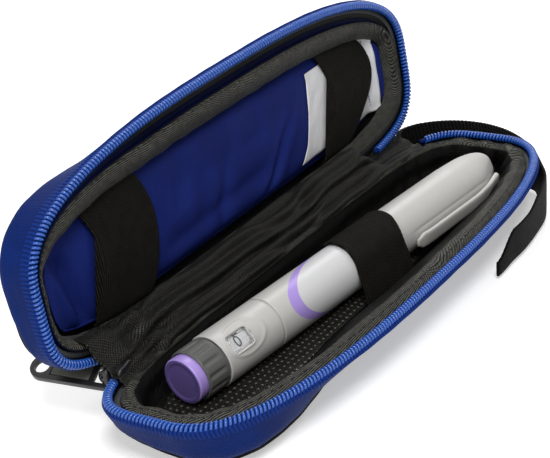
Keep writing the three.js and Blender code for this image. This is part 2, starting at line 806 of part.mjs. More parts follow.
function injectionButton() {
  const rear = gripStart + buttonThickness;
  return turned([
    [0, 0], [0, buttonRadius * buttonFaceShare], [buttonEdge, buttonRadius], [rear, buttonRadius],
    [rear, buttonStemRadius], [rear + buttonStemLength, buttonStemRadius], [rear + buttonStemLength, 0],
  ]);
}

// Grip with finger flutes round its rim and a seat that the button sinks into
function doseGrip() {
  const levels = [
    [gripStart, buttonRadius + gap, 0], [gripStart, gripRadius - fluteDepth, 0],
    [gripStart + fluteStart, gripRadius, 1], [gripStart + fluteEnd, gripRadius, fluteEndShare],
    [gripEnd, gripRadius, 0], [gripEnd, sleeveRadius - sleeveWall, 0],
    [buttonSeat, sleeveRadius - sleeveWall, 0], [buttonSeat, buttonRadius + gap, 0],
  ];
  const around = gripFlutes * 3;
  const rings = levels.map(([s, r, fluteShare]) =>
    Array.from({ length: around }, (_, j) => {
      const radius = r - (j % 3 === 0 ? fluteShare * fluteDepth : 0);
      const angle = (2 * Math.PI * j) / around;
      return [s, radius * Math.cos(angle), radius * Math.sin(angle)];
    }));
  return closedRings(rings);
}

// Rings that close on themselves both ways, such as a tube's
function closedRings(rings) {
  const n = rings[0].length;
  const faces = [];
  rings.forEach((_, i) => {
    const next = (i + 1) % rings.length;
    for (let j = 0; j < n; j++) {
      const [a, b] = [i * n + j, i * n + ((j + 1) % n)];
      const [c, d] = [next * n + j, next * n + ((j + 1) % n)];
      faces.push(a, b, d, a, d, c);
    }
  });
  return closedBody(rings.flat(), faces);
}

function numberSleeve() {
  return tube(gripEnd + gap, gripEnd + gap + sleeveLength, sleeveRadius, sleeveRadius - sleeveWall);
}

function driveSleeve() {
  return tube(driveStart, labelStart + driveLead, driveRadius, driveRadius - driveWall);
}

function windowHole() {
  const middle = barrelStart + windowOffset + windowLength / 2;
  return block(windowLength, windowWidth, barrelRadius, [middle, 0, barrelRadius]);
}

function penBarrel() {
  const spigot = capRadius - capWall - runningGap;
  const waist = barrelRadius - wrapGap - penLabelThickness;
  const body = turned([
    [barrelStart, barrelRadius], [labelStart - gap, barrelRadius], [labelStart - gap, waist],
    [labelStart + penLabelLength + gap, waist], [labelStart + penLabelLength + gap, barrelRadius],
    [barrelEnd, barrelRadius], [barrelEnd, spigot], [barrelEnd + spigotLength, spigot],
    [barrelEnd + spigotLength, barrelBore], [barrelStart, barrelBore],
  ]);
  return cut(body, windowHole());
}

function doseWindow() {
  const start = barrelStart + windowOffset + gap;
  const end = start + windowLength - 2 * gap;
  const lens = tube(start, end, barrelRadius - gap, barrelBore + gap);
  const keep = block(windowLength, windowWidth - 2 * gap, barrelRadius,
    [(start + end) / 2, 0, barrelRadius - gap]);
  return fromSolid(toSolid(lens).intersect(toSolid(keep)));
}

function penLabel() {
  const inner = barrelRadius - penLabelThickness;
  return tube(labelStart, labelStart + penLabelLength, barrelRadius, inner);
}

// Rounded nose of the cap, as shares of the nose's length and of the cap's outer and inner radius
const noseShares = [[0.5, 0.93], [0.82, 0.76], [0.95, 0.52]];
const noseBoreShares = [[0.8, 0.7], [0.4, 0.9]];

function capShell() {
  const start = barrelEnd + gap;
  const nose = penLength - capNose;
  const bore = capRadius - capWall;
  return turned([
    [start, capRadius], [nose, capRadius],
    ...noseShares.map(([along, out]) => [nose + capNose * along, capRadius * out]),
    [penLength, 0], [penLength - capWall * 2, 0],
    ...noseBoreShares.map(([along, out]) => [nose + capNose * along, bore * out]),
    [nose, bore], [start, bore],
  ]);
}

// Side view of the clip: shares of its length and height from its free end to its root in the nose
const clipCrownShares = [[0, 0.7], [0.2, 1], [0.7, 0.8]];
const clipRootShares = [[0.2, 0.8], [0.55, 0.8]]; // back from the tip by the nose, out by the radius
const clipFootShare = 0.7; // back from the tip, where its underside meets the nose

function capClip() {
  const end = penLength - capNose * clipRootShares[0][0];
  const start = end - clipLength;
  const under = capRadius + gap * 2;
  const crown = clipCrownShares.map(([along, up]) =>
    [start + clipLength * along, capRadius + clipHeight * up]);
  const root = clipRootShares.map(([back, out]) => [penLength - capNose * back, capRadius * out]);
  const outline = [[start, under], ...crown, ...root, [penLength - capNose * clipFootShare, under]];
  const profile = new THREE.Shape(outline.map(([s, r]) => new THREE.Vector2(s, r)));
  return new THREE.ExtrudeGeometry(profile, { depth: clipWidth, bevelEnabled: false })
    .translate(0, 0, -clipWidth / 2)
    .rotateX(Math.PI / 2 + clipTurn);
}

function penCap() {
  return unite(capShell(), capClip());
}

const stopperStart = cartridgeStart + discThickness + 2 * gap;
const cartridgeBore = cartridgeRadius - cartridgeWall;
const holderEnd = cartridgeEnd + neckLength + gap;

function leadScrew() {
  const start = labelStart - screwLead;
  const seat = stopperStart - gap;
  return turned([
    [start, 0], [start, screwRadius], [seat - discThickness, screwRadius],
    [seat - discThickness, discRadius], [seat, discRadius], [seat, 0],
  ]);
}

function screwNut() {
  const start = barrelEnd - nutSetback;
  return tube(start, start + nutLength, barrelBore - gap, screwRadius + runningGap);
}

function insulinCartridge() {
  return turned([
    [cartridgeStart, cartridgeRadius], [cartridgeEnd - neckLength, cartridgeRadius],
    [cartridgeEnd, neckRadius], [cartridgeEnd + neckLength, neckRadius],
    [cartridgeEnd + neckLength, neckRadius - cartridgeWall], [cartridgeEnd, neckRadius - cartridgeWall],
    [cartridgeEnd - neckLength, cartridgeBore], [cartridgeStart, cartridgeBore],
  ]);
}

function cartridgeStopper() {
  const radius = cartridgeBore - wrapGap;
  return turned([
    [stopperStart, 0], [stopperStart, radius], [stopperStart + stopperLength, radius],
    [stopperStart + stopperLength, 0],
  ]);
}

function cartridgeSeal() {
  const start = cartridgeEnd + neckLength + wrapGap;
  return turned([
    [start, 0], [start, sealRadius], [start + sealHeight, sealRadius], [start + sealHeight, 0],
  ]);
}

function cartridgeHolder() {
  const outer = barrelBore - gap;
  const bore = outer - holderWall;
  const start = barrelEnd;
  const shoulder = cartridgeEnd;
  const end = holderEnd + sealHeight + gap;
  const throat = sealRadius + gap;
  return turned([
    [start, outer], [shoulder, outer], [shoulder + holderWall, throat + holderWall],
    [end + threadLength / 2, throat + holderWall], [end + threadLength / 2, throat - holderWall * 2],
    [end, throat - holderWall * 2], [end, throat], [shoulder - holderWall, throat],
    [shoulder - neckLength, bore], [start, bore],
  ]);
}

// Coil that pushes the button back out, between its underside and the drive sleeve's end
function buttonSpring() {
  const radius = driveRadius - driveWall / 2;
  const start = gripStart + buttonThickness + gap + springWire;
  const length = driveStart - gap - springWire - start;
  class Coil extends THREE.Curve {
    getPoint(t, target = new THREE.Vector3()) {
      const angle = 2 * Math.PI * springTurns * t;
      return target.set(start + length * t, radius * Math.cos(angle), radius * Math.sin(angle));
    }
  }
  const wire = new THREE.Shape();
  wire.absarc(0, 0, springWire, 0, 2 * Math.PI, false);
  return new THREE.ExtrudeGeometry(wire, {
    extrudePath: new Coil(),
    steps: springTurns * springTurnSteps,
    bevelEnabled: false,
    curveSegments: 3,
  });
}

// Elastic band over the pen: a bridge with two sloping legs, in the pen's own frame before its roll
function penElastic() {
  const inner = capRadius + gap;
  const outer = inner + elasticThickness;
  const middle = barrelEnd - penElasticSetback;
  const lift = penStart.z + Math.sin(penTilt) * middle;
  const floorTop = wallLevel(tray, 4, liningDepth + liningWall).height + gap + meshThickness;
  const drop = lift - floorTop - gap - elasticThickness;
  const arc = (radius, turnedBack) => {
    const list = Array.from({ length: penElasticSteps + 1 }, (_, i) => {
      const angle = penElasticHug * ((2 * i) / penElasticSteps - 1);
      return [radius * Math.sin(angle), radius * Math.cos(angle)];
    });
    return turnedBack ? list.reverse() : list;
  };
  const foot = penElasticFootSpread;
  const section = [
    [-foot, -drop], ...arc(outer, false), [foot, -drop],
    [foot - penElasticLegSlant, -drop], ...arc(inner, true), [-foot + penElasticLegSlant, -drop],
  ];
  return barAlongX(section, middle - penElasticWidth / 2, middle + penElasticWidth / 2);
}

// Assembly
const insulinCase = new THREE.Group();

const trayGroup = new THREE.Group();
trayGroup.add(
  piece("tray_shell", caseShell(tray), finishes.shellCloth),
  piece("tray_foam", caseFoam(tray), finishes.foam),
  piece("tray_lining", trayLining(), finishes.lining),
  piece("tray_mesh_floor", trayMesh(), finishes.mesh),
  piece("tray_zip_teeth", zipTeeth(tray), finishes.blueZip),
  piece("tray_zip_tape", zipTape(tray), finishes.blueZip),
  piece("hinge_spine", hingeSpine(), finishes.shellCloth),
  piece("hinge_lining", hingeLining(), finishes.lining),
  piece("webbing_strap", webbingStrap(), finishes.webbing),
);

// The closed lid, turned open about the hinge axis
const lidGroup = new THREE.Group();
lidGroup.position.set(0, hingeY, hingeHeight);
lidGroup.rotation.x = -openAngle;
const closedLid = new THREE.Group();
closedLid.position.set(0, -hingeY, -hingeHeight);
closedLid.add(
  piece("lid_shell", caseShell(lid), finishes.shellCloth),
  piece("lid_foam", caseFoam(lid), finishes.foam),
  piece("lid_lining", lidLining(), finishes.lining),
  piece("lid_zip_teeth", zipTeeth(lid), finishes.blueZip),
  piece("lid_zip_tape", zipTape(lid), finishes.blueZip),
  piece("cooling_pad", coolingPad(), finishes.bluePad),
  piece("pad_label", padLabel(), finishes.whiteLabel),
  piece("lid_elastic_near", lidElastic(nearElasticInset - halfLength, nearElasticWidth), finishes.elastic),
  piece("lid_elastic_far", lidElastic(halfLength - farElasticInset, farElasticWidth), finishes.elastic),
);
lidGroup.add(closedLid);

const sliderGroup = new THREE.Group();
const sliderX = -(zipEndX - teethWidth / 2 - sliderLength / 2 - gap); // just past the end of the teeth
sliderGroup.position.set(sliderX, backWallAt(sliderX), partingHeight);
sliderGroup.rotation.z = sliderYaw;
sliderGroup.add(piece("zip_slider", sliderBody(), finishes.gunmetal));

const pullGroup = new THREE.Group();
pullGroup.position.set(0, bridgeMiddle, -bridgeDrop);
pullGroup.rotation.set(pullRise, -pullRoll, 0, "YXZ");
pullGroup.add(
  piece("pull_tab", pullTab(), finishes.gunmetal),
  piece("pull_pin", pullPin(), finishes.gunmetal),
  piece("pull_insert", pullInsert(), finishes.pullGrey),
);
sliderGroup.add(pullGroup);

const penGroup = new THREE.Group();
penGroup.position.set(penStart.x, penStart.y, penStart.z);
penGroup.rotation.set(0, -penTilt, -penYaw, "ZYX");
penGroup.add(piece("pen_elastic", penElastic(), finishes.elastic));
const rolledPen = new THREE.Group();
rolledPen.rotation.x = penRoll;
rolledPen.add(
  piece("injection_button", injectionButton(), finishes.lavender),
  piece("button_spring", buttonSpring(), finishes.steel),
  piece("dose_grip", doseGrip(), finishes.gripGrey),
  piece("number_sleeve", numberSleeve(), finishes.white),
  piece("drive_sleeve", driveSleeve(), finishes.penGrey),
  piece("pen_barrel", penBarrel(), finishes.penGrey),
  piece("dose_window", doseWindow(), finishes.lens),
  piece("pen_label", penLabel(), finishes.white),
  piece("pen_cap", penCap(), finishes.penGrey),
  piece("lead_screw", leadScrew(), finishes.steel),
  piece("screw_nut", screwNut(), finishes.penGrey),
  piece("insulin_cartridge", insulinCartridge(), finishes.glass),
  piece("cartridge_stopper", cartridgeStopper(), finishes.rubber),
  piece("cartridge_seal", cartridgeSeal(), finishes.steel),
  piece("cartridge_holder", cartridgeHolder(), finishes.lens),
);
penGroup.add(rolledPen);

insulinCase.add(trayGroup, lidGroup, sliderGroup, penGroup);

export default insulinCase;
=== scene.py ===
"""Looks of the open insulin cooling case: cloth halves, coil zip, gel pad, elastics and pen."""

import math
from collections import namedtuple

import bpy
import numpy as np
from mathutils import Matrix, Vector


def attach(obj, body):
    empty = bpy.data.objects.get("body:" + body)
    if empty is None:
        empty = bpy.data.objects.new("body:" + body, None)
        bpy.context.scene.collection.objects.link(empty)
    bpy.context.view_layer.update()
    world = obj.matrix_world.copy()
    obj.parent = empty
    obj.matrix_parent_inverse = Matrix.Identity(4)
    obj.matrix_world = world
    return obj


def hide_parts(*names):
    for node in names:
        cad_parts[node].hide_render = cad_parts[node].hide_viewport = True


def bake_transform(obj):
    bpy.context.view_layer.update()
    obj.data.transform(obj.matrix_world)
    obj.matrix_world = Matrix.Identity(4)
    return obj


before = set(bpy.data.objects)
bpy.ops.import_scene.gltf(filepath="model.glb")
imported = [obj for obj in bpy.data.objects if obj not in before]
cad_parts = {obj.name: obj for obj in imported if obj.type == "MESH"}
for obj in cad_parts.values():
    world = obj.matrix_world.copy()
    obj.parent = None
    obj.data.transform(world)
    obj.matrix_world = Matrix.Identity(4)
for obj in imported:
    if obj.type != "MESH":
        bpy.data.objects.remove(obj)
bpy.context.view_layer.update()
MM = 0.001

# Camera, at the photograph's viewing angle
CAMERA_AT = (-393.53, -269.12, 256.77)
CAMERA_AHEAD = (0.7211, 0.5480, -0.4239)
CAMERA_UP = (0.4220, 0.1378, 0.8961)
LENS = 106.17

camera = bpy.data.objects.new("camera", bpy.data.cameras.new("camera"))
bpy.context.scene.collection.objects.link(camera)
bpy.context.scene.camera = camera
camera.data.lens = LENS
camera.data.sensor_width = 36
camera.data.clip_start, camera.data.clip_end = 0.01, 20
ahead = Vector(CAMERA_AHEAD).normalized()
right = ahead.cross(Vector(CAMERA_UP)).normalized()
turn = Matrix((right, right.cross(ahead), -ahead)).transposed()
camera.matrix_world = Matrix.Translation(Vector(CAMERA_AT) * MM) @ turn.to_4x4()

# Case outline and walls, in mm, as in the CAD
HALF, FRONT, BACK = 105.6, 32.5, 31.6
FRONT_POWER, BACK_POWER = 2.7, 5
ZIP_END_X = 94
HINGE_Y, HINGE_Z = 32.6, 18.5
OPEN = math.radians(93.4)
TAPE_HEIGHT = 9.6
FLARE, RIM_OUT = 0.8, 0.6
FLOOR_INSET_ENDS, FLOOR_INSET_FRONT, FLOOR_INSET_BACK = 16, 15, 4.5
SHELL_CLOTH, FOAM_DEPTHS, LINING_DEPTH, LINING_WALL = 1.4, (1.7, 3.3), 3.6, 0.7

# A half: its depth, wall, resting plane and way up, how far its front wall draws in, from which X and over
# what length, how far its foot is tucked in at the slider's corner, and its coil's ends in X
Half = namedtuple("Half", "name depth wall base up draw draw_from draw_span tuck zip_ends")
TRAY = Half("tray", 20.15, 16.8, 0, 1, 17, -14, 102, 5, (-90, 94))
LID = Half("lid", 18.15, 14.8, 38.3, -1, 10, -2, 66, 1, (-86, 76))


def smooth(value):
    s = np.clip(value, 0, 1)
    return s * s * (3 - 2 * s)


def bell(value, at, width):
    return np.exp(-((value - at) / width) ** 2)


def unit(vectors):
    return vectors / np.linalg.norm(vectors, axis=-1, keepdims=True)


def circle(count):
    """Cosines and sines of evenly spaced angles."""
    angle = np.linspace(0, 2 * math.pi, count, endpoint=False)
    return np.cos(angle), np.sin(angle)


def squared(share, power):
    """Bends a circle's cosines or sines towards a rounded square, the more the smaller the power."""
    return np.sign(share) * np.abs(share) ** power


def ripple(points, wavelength, seed):
    """Smooth seeded noise of about -1 to 1 at points in mm."""
    draw = np.random.default_rng(seed)
    waves, total = 9, 0
    for _ in range(waves):
        way = draw.normal(size=3)
        way *= 2 * math.pi / (wavelength * draw.uniform(0.7, 1.5) * np.linalg.norm(way))
        total = total + np.cos(points @ way + draw.uniform(0, 2 * math.pi))
    return total / math.sqrt(waves * 1.6)


def back_wall_at(x):
    return BACK * (1 - np.abs(x / HALF) ** BACK_POWER) ** (1 / BACK_POWER)


def share_at(angle):
    s, c = np.sin(angle), np.cos(angle)
    power = np.where(s < 0, FRONT_POWER, BACK_POWER)
    reach = np.where(s < 0, FRONT, BACK)
    r = (np.abs(c / HALF) ** power + np.abs(s / reach) ** power) ** (-1 / power)
    return np.stack([r * c / HALF, r * s / reach], -1)


def runs(points):
    """Distance run along each row of points, from 0."""
    step = np.linalg.norm(np.diff(points, axis=-2), axis=-1)
    return np.concatenate([np.zeros(step.shape[:-1] + (1,)), np.cumsum(step, -1)], -1)


def resampled(path, at, run=None):
    """Points of a path at distances run along it."""
    run = runs(path) if run is None else run
    return np.stack([np.interp(at, run, path[:, k]) for k in range(path.shape[1])], -1)


def in_mm(shares):
    """Shares of the case's outline as X and Y in mm."""
    return shares * np.stack([np.full(len(shares), HALF), np.where(shares[:, 1] < 0, FRONT, BACK)], -1)


def stretch(start, end, steps):
    """Shares along the outline between two angles, evenly spaced."""
    share = share_at(np.linspace(start, end, 6001))
    run = runs(in_mm(share))
    return resampled(share, np.linspace(0, run[-1], steps + 1), run)


ZIP_END = math.atan2(back_wall_at(ZIP_END_X), ZIP_END_X)
ZIP = stretch(math.pi - ZIP_END, 2 * math.pi + ZIP_END, 420)
BACKS = stretch(ZIP_END, math.pi - ZIP_END, 200)
OUTLINE = np.concatenate([ZIP[:-1], BACKS[:-1]])


def surface(half, shares, levels):
    """Points of a half: a column for each share of the outline, and a row for each level.

    A level is (inset at the ends, at the front, at the back, height, share of the flare, of the draw-in).
    """
    end, front, back, height, flare_share, draw_share = np.asarray(levels, float).T[..., None]
    sx, sy = shares[None, :, 0], shares[None, :, 1]
    flare = flare_share * FLARE * smooth((-40 - sx * HALF) / 50)
    tuck = half.tuck * draw_share * smooth((-sx - 0.45) / 0.4) * smooth((sy + 1.15) / 0.8)
    x = (HALF - end - tuck + flare * (1 - smooth(sy / 0.8))) * sx
    draw = draw_share * half.draw * smooth((x + HALF - half.draw_from) / half.draw_span)
    y = np.where(sy < 0, (FRONT - front + flare - draw) * sy, (BACK - back) * sy)
    return np.stack([x, y, half.base + half.up * height + 0 * x], -1)


def wall_level(half, i, depth):
    """Level i of the wall, from 0 at the rim to 4 on the floor, depth mm inside the outer cloth."""
    dome = half.wall - TAPE_HEIGHT
    out = (0, 0, 0.3, 0.68, 1)[i]
    inward = depth * (1, 1, 0.8, 0.45, 0.25)[i]
    rise = half.wall if i == 0 else dome * (0, 1, 0.4, 0.08, 0)[i]
    return (FLOOR_INSET_ENDS * out + inward - RIM_OUT, FLOOR_INSET_FRONT * out + inward - RIM_OUT,
            FLOOR_INSET_BACK * out + inward, rise + depth * (0, 0.1, 0.6, 0.9, 1)[i],
            (0, 1, 0.7, 0.25, 0)[i], (0, 1, 0.95, 0.85, 0.67)[i])


def wall_face(half, depth, count):
    """The wall of a half from rim to floor in count rows, depth mm inside the outer cloth."""
    return surface(half, OUTLINE, flow([wall_level(half, i, depth) for i in range(5)], count))


def flow(rows, count):
    """A smooth run of count rows through the given ones."""
    rows = np.asarray(rows, float)
    padded = np.concatenate([[2 * rows[0] - rows[1]], rows, [2 * rows[-1] - rows[-2]]])
    at = np.linspace(0, len(rows) - 1, count)
    i = np.minimum(at.astype(int), len(rows) - 2)
    t = (at - i).reshape((-1,) + (1,) * (rows.ndim - 1))
    a, b, c, d = (padded[i + k] for k in range(4))
    second, third = 2 * a - 5 * b + 4 * c - d, 3 * b - a - 3 * c + d
    return 0.5 * (2 * b + (c - a) * t + second * t * t + third * t ** 3)


def push(points, amount, outward, ring=True):
    """Moves a grid of points along its normals, towards outward where amount is positive."""
    across = np.roll(points, -1, 1) - np.roll(points, 1, 1) if ring else np.gradient(points, axis=1)
    n = np.cross(across, np.gradient(points, axis=0))
    n /= np.maximum(np.linalg.norm(n, axis=-1, keepdims=True), 1e-9)
    n *= np.sign(np.sum(n * outward, -1, keepdims=True).mean())
    return points + n * np.asarray(amount)[..., None]


def opened(points):
    """Points of the closed lid, turned open about the hinge."""
    c, s = math.cos(OPEN), math.sin(OPEN)
    y, z = points[..., 1] - HINGE_Y, points[..., 2] - HINGE_Z
    return np.stack([points[..., 0], HINGE_Y + y * c + z * s, HINGE_Z - y * s + z * c], -1)


# Meshes
def placed(name, data):
    obj = bpy.data.objects.new(name, data)
    bpy.context.scene.collection.objects.link(obj)
    return obj


def attached(obj, body, node):
    """Puts a piece on its body and, where node is given, in the place of that CAD node."""
    if body:
        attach(obj, body)
    if node:
        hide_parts(node)
    return obj


def make(name, verts, faces, uvs, body, finishes, face_finish=None, node=None):
    mesh = bpy.data.meshes.new(name)
    mesh.from_pydata([tuple(v) for v in np.asarray(verts) * MM], [], faces)
    layer = mesh.uv_layers.new(name="weave")
    layer.data.foreach_set("uv", np.asarray(uvs, np.float32).ravel())
    if face_finish is not None:
        mesh.polygons.foreach_set("material_index", np.asarray(face_finish, np.int32))
    mesh.polygons.foreach_set("use_smooth", [True] * len(faces))
    for finish in finishes if isinstance(finishes, list) else [finishes]:
        mesh.materials.append(finish)
    mesh.validate()
    mesh.update()
    return attached(placed(name, mesh), body, node)


def quads(points, ring, rows_close=False):
    """Each face of a grid as corners (row, column) and as vertices, and the volume that they enclose."""
    rows, cols = points.shape[:2]
    r, c = np.meshgrid(np.arange(rows - 1 + rows_close), np.arange(cols - 1 + ring), indexing="ij")
    corners = [(r, c), (r, c + 1), (r + 1, c + 1), (r + 1, c)]
    index = np.stack([(a % rows) * cols + b % cols for a, b in corners], -1).reshape(-1, 4)
    a, b, c, d = points.reshape(-1, 3)[index.T]
    return corners, index, np.einsum("ij,ij->", a, np.cross(b, c) + np.cross(c, d))


def grid(name, points, body, slot, finishes, ring=False, rows_close=False, caps=None, row_finish=None,
         node=None, planar=False, hole=None):
    """A mesh over a grid of points; ring and rows_close close it along its rows and its columns.

    caps closes the first and last row, or, as "ends", the first and last column. row_finish gives the finish
    of each row. UVs are mm along the cloth, or X and Y where it's planar. hole marks faces to leave out.
    """
    rows, cols = points.shape[:2]
    corners, index, volume = quads(points, ring, rows_close)
    wide = np.concatenate([points, points[:, :1]], 1) if ring else points
    wide = np.concatenate([wide, wide[:1]], 0) if rows_close else wide
    u, v = (wide[..., 0], wide[..., 1]) if planar else (runs(wide), runs(wide.swapaxes(0, 1)).T)
    uvs = np.stack([np.stack([u[a, b], v[a, b]], -1) for a, b in corners], 2).reshape(-1, 4, 2)
    row = corners[0][0].ravel()
    if hole is not None:
        index, uvs, row = (values[~hole.ravel()] for values in (index, uvs, row))
    verts, faces, loops = list(points.reshape(-1, 3)), index.tolist(), list(uvs)
    if caps == "rows":
        for end, order in ((0, -1), (rows - 1, 1)):
            ids = (np.arange(cols) + end * cols)[::order].tolist()
            faces += [[a, b, len(verts)] for a, b in zip(ids, ids[1:] + ids[:1])]
            verts.append(points[end].mean(0))
    if caps == "ends":
        faces += [(np.arange(rows) * cols).tolist(), (np.arange(rows) * cols + cols - 1)[::-1].tolist()]
    loops += [np.stack([verts[k][:2] for k in face]) for face in faces[len(loops):]]
    if volume < 0:
        faces, loops = [face[::-1] for face in faces], [loop[::-1] for loop in loops]
    if row_finish is not None:
        row_finish = np.asarray(row_finish)[row.tolist() + [0] * (len(faces) - len(row))]
    return make(name, verts, faces, np.concatenate(loops), body, finishes, row_finish, node)


def bowl(name, points, body, slot, finishes, **options):
    """A mesh over rings of points, closed over the first and the last one."""
    return grid(name, points, body, slot, finishes, ring=True, caps="rows", **options)


def layered(name, top, under, body, slot, finish, **options):
    """A sheet between two faces, closed along all its edges."""
    points = np.concatenate([top, under[::-1]])
    return grid(name, points, body, slot, finish, rows_close=True, caps="ends", **options)


def cloth_sheet(points):
    """Works out the width and length of a grid of points; nothing is done with them."""
    wide, long = runs(points)[:, -1].max(), runs(points.swapaxes(0, 1))[:, -1].max()


def tube(path, radius, sides=8, reference=(0, 0, 1)):
    """Rings of points round a path; radius may vary along it."""
    path = np.asarray(path, float)
    along = unit(np.gradient(path, axis=0))
    side = unit(np.cross(along, np.broadcast_to(np.asarray(reference, float), along.shape)))
    up = np.cross(side, along)
    radius = np.broadcast_to(np.asarray(radius, float), (len(path),))[:, None, None]
    c, s = (part[None, :, None] for part in circle(sides))
    return path[:, None] + radius * (side[:, None] * c + up[:, None] * s)


def joined(name, parts, body, finish, node=None):
    """One mesh of many closed tubes, each a grid of rings."""
    verts, faces, loops = [], [], []
    for points in parts:
        rows, cols = points.shape[:2]
        base = sum(len(v) for v in verts)
        _, index, volume = quads(points, True)
        run = runs(points.swapaxes(0, 1)).T
        uv = np.stack([np.broadcast_to(np.arange(cols) * 0.3, (rows, cols)), run], -1).reshape(-1, 2)
        mine = index.tolist() + [list(range(cols))[::-1], [(rows - 1) * cols + k for k in range(cols)]]
        for face in mine if volume > 0 else [f[::-1] for f in mine]:
            faces.append([base + k for k in face])
            loops.append(uv[face])
        verts.append(points.reshape(-1, 3))
    return make(name, np.concatenate(verts), faces, np.concatenate(loops), body, finish, node=node)


def stitches(name, path, body, finish, pitch, length, radius, reference=(0, 0, 1)):
    """A seam of raised thread stitches along a path."""
    taper = radius * np.array([0.35, 0.85, 1, 1, 0.85, 0.35])
    starts = np.arange(pitch / 2, runs(path)[-1] - pitch, pitch)
    parts = [tube(resampled(path, np.linspace(a, a + length, 6)), taper, 6, reference) for a in starts]
    return joined(name, parts, body, finish)


# Finishes
class Nodes:
    """The node tree of a world or a material."""
    def __init__(self, owner):
        owner.use_nodes = True
        self.tree = owner.node_tree

    def feed(self, socket, value):
        """Links a socket to a node's output, or sets it to a number or colour."""
        if isinstance(value, bpy.types.NodeSocket):
            self.tree.links.new(value, socket)
        elif value is not None:
            socket.default_value = value

    def node(self, kind, *inputs, **settings):
        made = self.tree.nodes.new("ShaderNode" + kind)
        for key, value in settings.items():
            setattr(made, key, value)
        for socket, value in zip(made.inputs, inputs):
            self.feed(socket, value)
        return made

    def math(self, operation, *inputs):
        return self.node("Math", *inputs, operation=operation).outputs[0]

    def times(self, a, b):
        return self.math("MULTIPLY", a, b)

    def white_rays(self):
        """1 for the rays that see the background white: camera, glossy and transmission rays."""
        path = self.node("LightPath").outputs
        seen = self.math("MAXIMUM", path["Is Camera Ray"], path["Is Glossy Ray"])
        return self.math("MAXIMUM", seen, path["Is Transmission Ray"])


class Shader(Nodes):
    """A finish: a Principled BSDF and what feeds it."""
    def __init__(self, name, colour, rough, gloss=0.5, **sockets):
        self.material = bpy.data.materials.new(name)
        super().__init__(self.material)
        self.skin = self.tree.nodes["Principled BSDF"].inputs
        self.skin["Base Color"].default_value = (*colour, 1)
        self.skin["Roughness"].default_value = rough
        self.skin["Specular IOR Level"].default_value = gloss
        for key, value in sockets.items():
            self.skin[key.replace("_", " ")].default_value = value

    def along(self):
        """Distances in mm across and along the cloth."""
        parts = self.node("SeparateXYZ", self.node("UVMap", uv_map="weave").outputs[0])
        return parts.outputs[0], parts.outputs[1]

    def place(self, scale=(1 / MM, 1 / MM, 1 / MM)):
        """Place on the piece in mm."""
        spot = self.node("TexCoord").outputs["Object"]
        return self.node("VectorMath", spot, scale, operation="MULTIPLY").outputs[0]

    def wave(self, value, pitch):
        turned = self.times(value, 2 * math.pi / pitch)
        return self.math("MULTIPLY_ADD", self.math("SINE", turned), 0.5, 0.5)

    def threads(self, u, v, pitch, other_pitch=None):
        """Over-and-under crossings of two sets of threads."""
        return self.times(self.wave(u, pitch), self.wave(v, other_pitch or pitch))

    def noise(self, scale, detail=3, vector=None):
        made = self.node("TexNoise", vector or self.place())
        made.inputs["Scale"].default_value = scale
        made.inputs["Detail"].default_value = detail
        return made.outputs[0]

    def blend(self, share, low, high):
        mix = self.node("Mix", share, data_type="RGBA")
        for socket, value in ((6, low), (7, high)):
            self.feed(mix.inputs[socket], (*value, 1) if isinstance(value, tuple) else value)
        return mix.outputs[2]

    def paint(self, share, low, high):
        self.feed(self.skin["Base Color"], self.blend(share, low, high))

    def bump(self, *layers):
        """Layers of (height socket, depth in mm)."""
        normal = None
        for height, depth in layers:
            made = self.node("Bump", 1.0, depth * MM)
            self.feed(made.inputs["Height"], height)
            self.feed(made.inputs["Normal"], normal)
            normal = made.outputs[0]
        self.feed(self.skin["Normal"], normal)

    def roughen(self, share, low, high):
        self.feed(self.skin["Roughness"], self.math("MULTIPLY_ADD", share, high - low, low))


def woven(name, dark, light, rough, pitch, depth, creases=0.25, crease_size=0.16, **sockets):
    """Plain woven cloth: over-and-under threads whose crossings are painted lighter as highlights, varied by
    faint slubs, and soft creases.
    """
    s = Shader(name, dark, rough, **sockets)
    cross = s.threads(*s.along(), pitch)
    # Painted highlight: the thread crossings take the lighter colour, more or less by a slub noise.
    s.paint(s.times(cross, s.noise(0.35)), dark, light)
    s.bump((s.noise(crease_size), creases), (cross, depth))
    return s.material


def ribbed(name, dark, light, rough, pitch, depth, lengthwise=False, cross_pitch=0.45, **sockets):
    """Ribbed tape or elastic: ribs across it, or along it, with fine threads the other way, and painted
    glints on the rib crests.
    """
    s = Shader(name, dark, rough, **sockets)
    main, other = s.along()[::-1 if lengthwise else 1]
    rib, thread = s.wave(main, pitch), s.wave(other, cross_pitch)
    # Painted glints: the rib crests take the lighter colour, more or less by noise.
    s.paint(s.times(s.times(rib, rib), s.noise(0.3, 4)), dark, light)
    s.bump((s.noise(0.2, 2), 0.2), (rib, depth), (thread, depth * 0.4))
    return s.material


def twill(name, dark, light, rough, pitch, depth, **sockets):
    """Diagonal weave with painted glints on its ribs."""
    s = Shader(name, dark, rough, **sockets)
    u, v = s.along()
    rib = s.wave(s.math("ADD", u, v), pitch)
    thread = s.wave(s.math("SUBTRACT", u, v), pitch / 2)
    # Painted glints: the twill ribs take the lighter colour, more or less by noise.
    s.paint(s.times(rib, s.noise(0.6, 4)), dark, light)
    s.bump((rib, depth), (thread, depth * 0.5))
    return s.material


def plastic(name, colour, rough, grain=0.015, **sockets):
    """Moulded plastic with a faint grain and slight colour drift."""
    s = Shader(name, colour, rough, **sockets)
    s.paint(s.noise(0.05), tuple(c * 0.94 for c in colour), tuple(min(1, c * 1.05) for c in colour))
    s.bump((s.noise(3.0, 2), grain))
    s.roughen(s.noise(0.25), rough * 0.85, rough * 1.2)
    return s.material


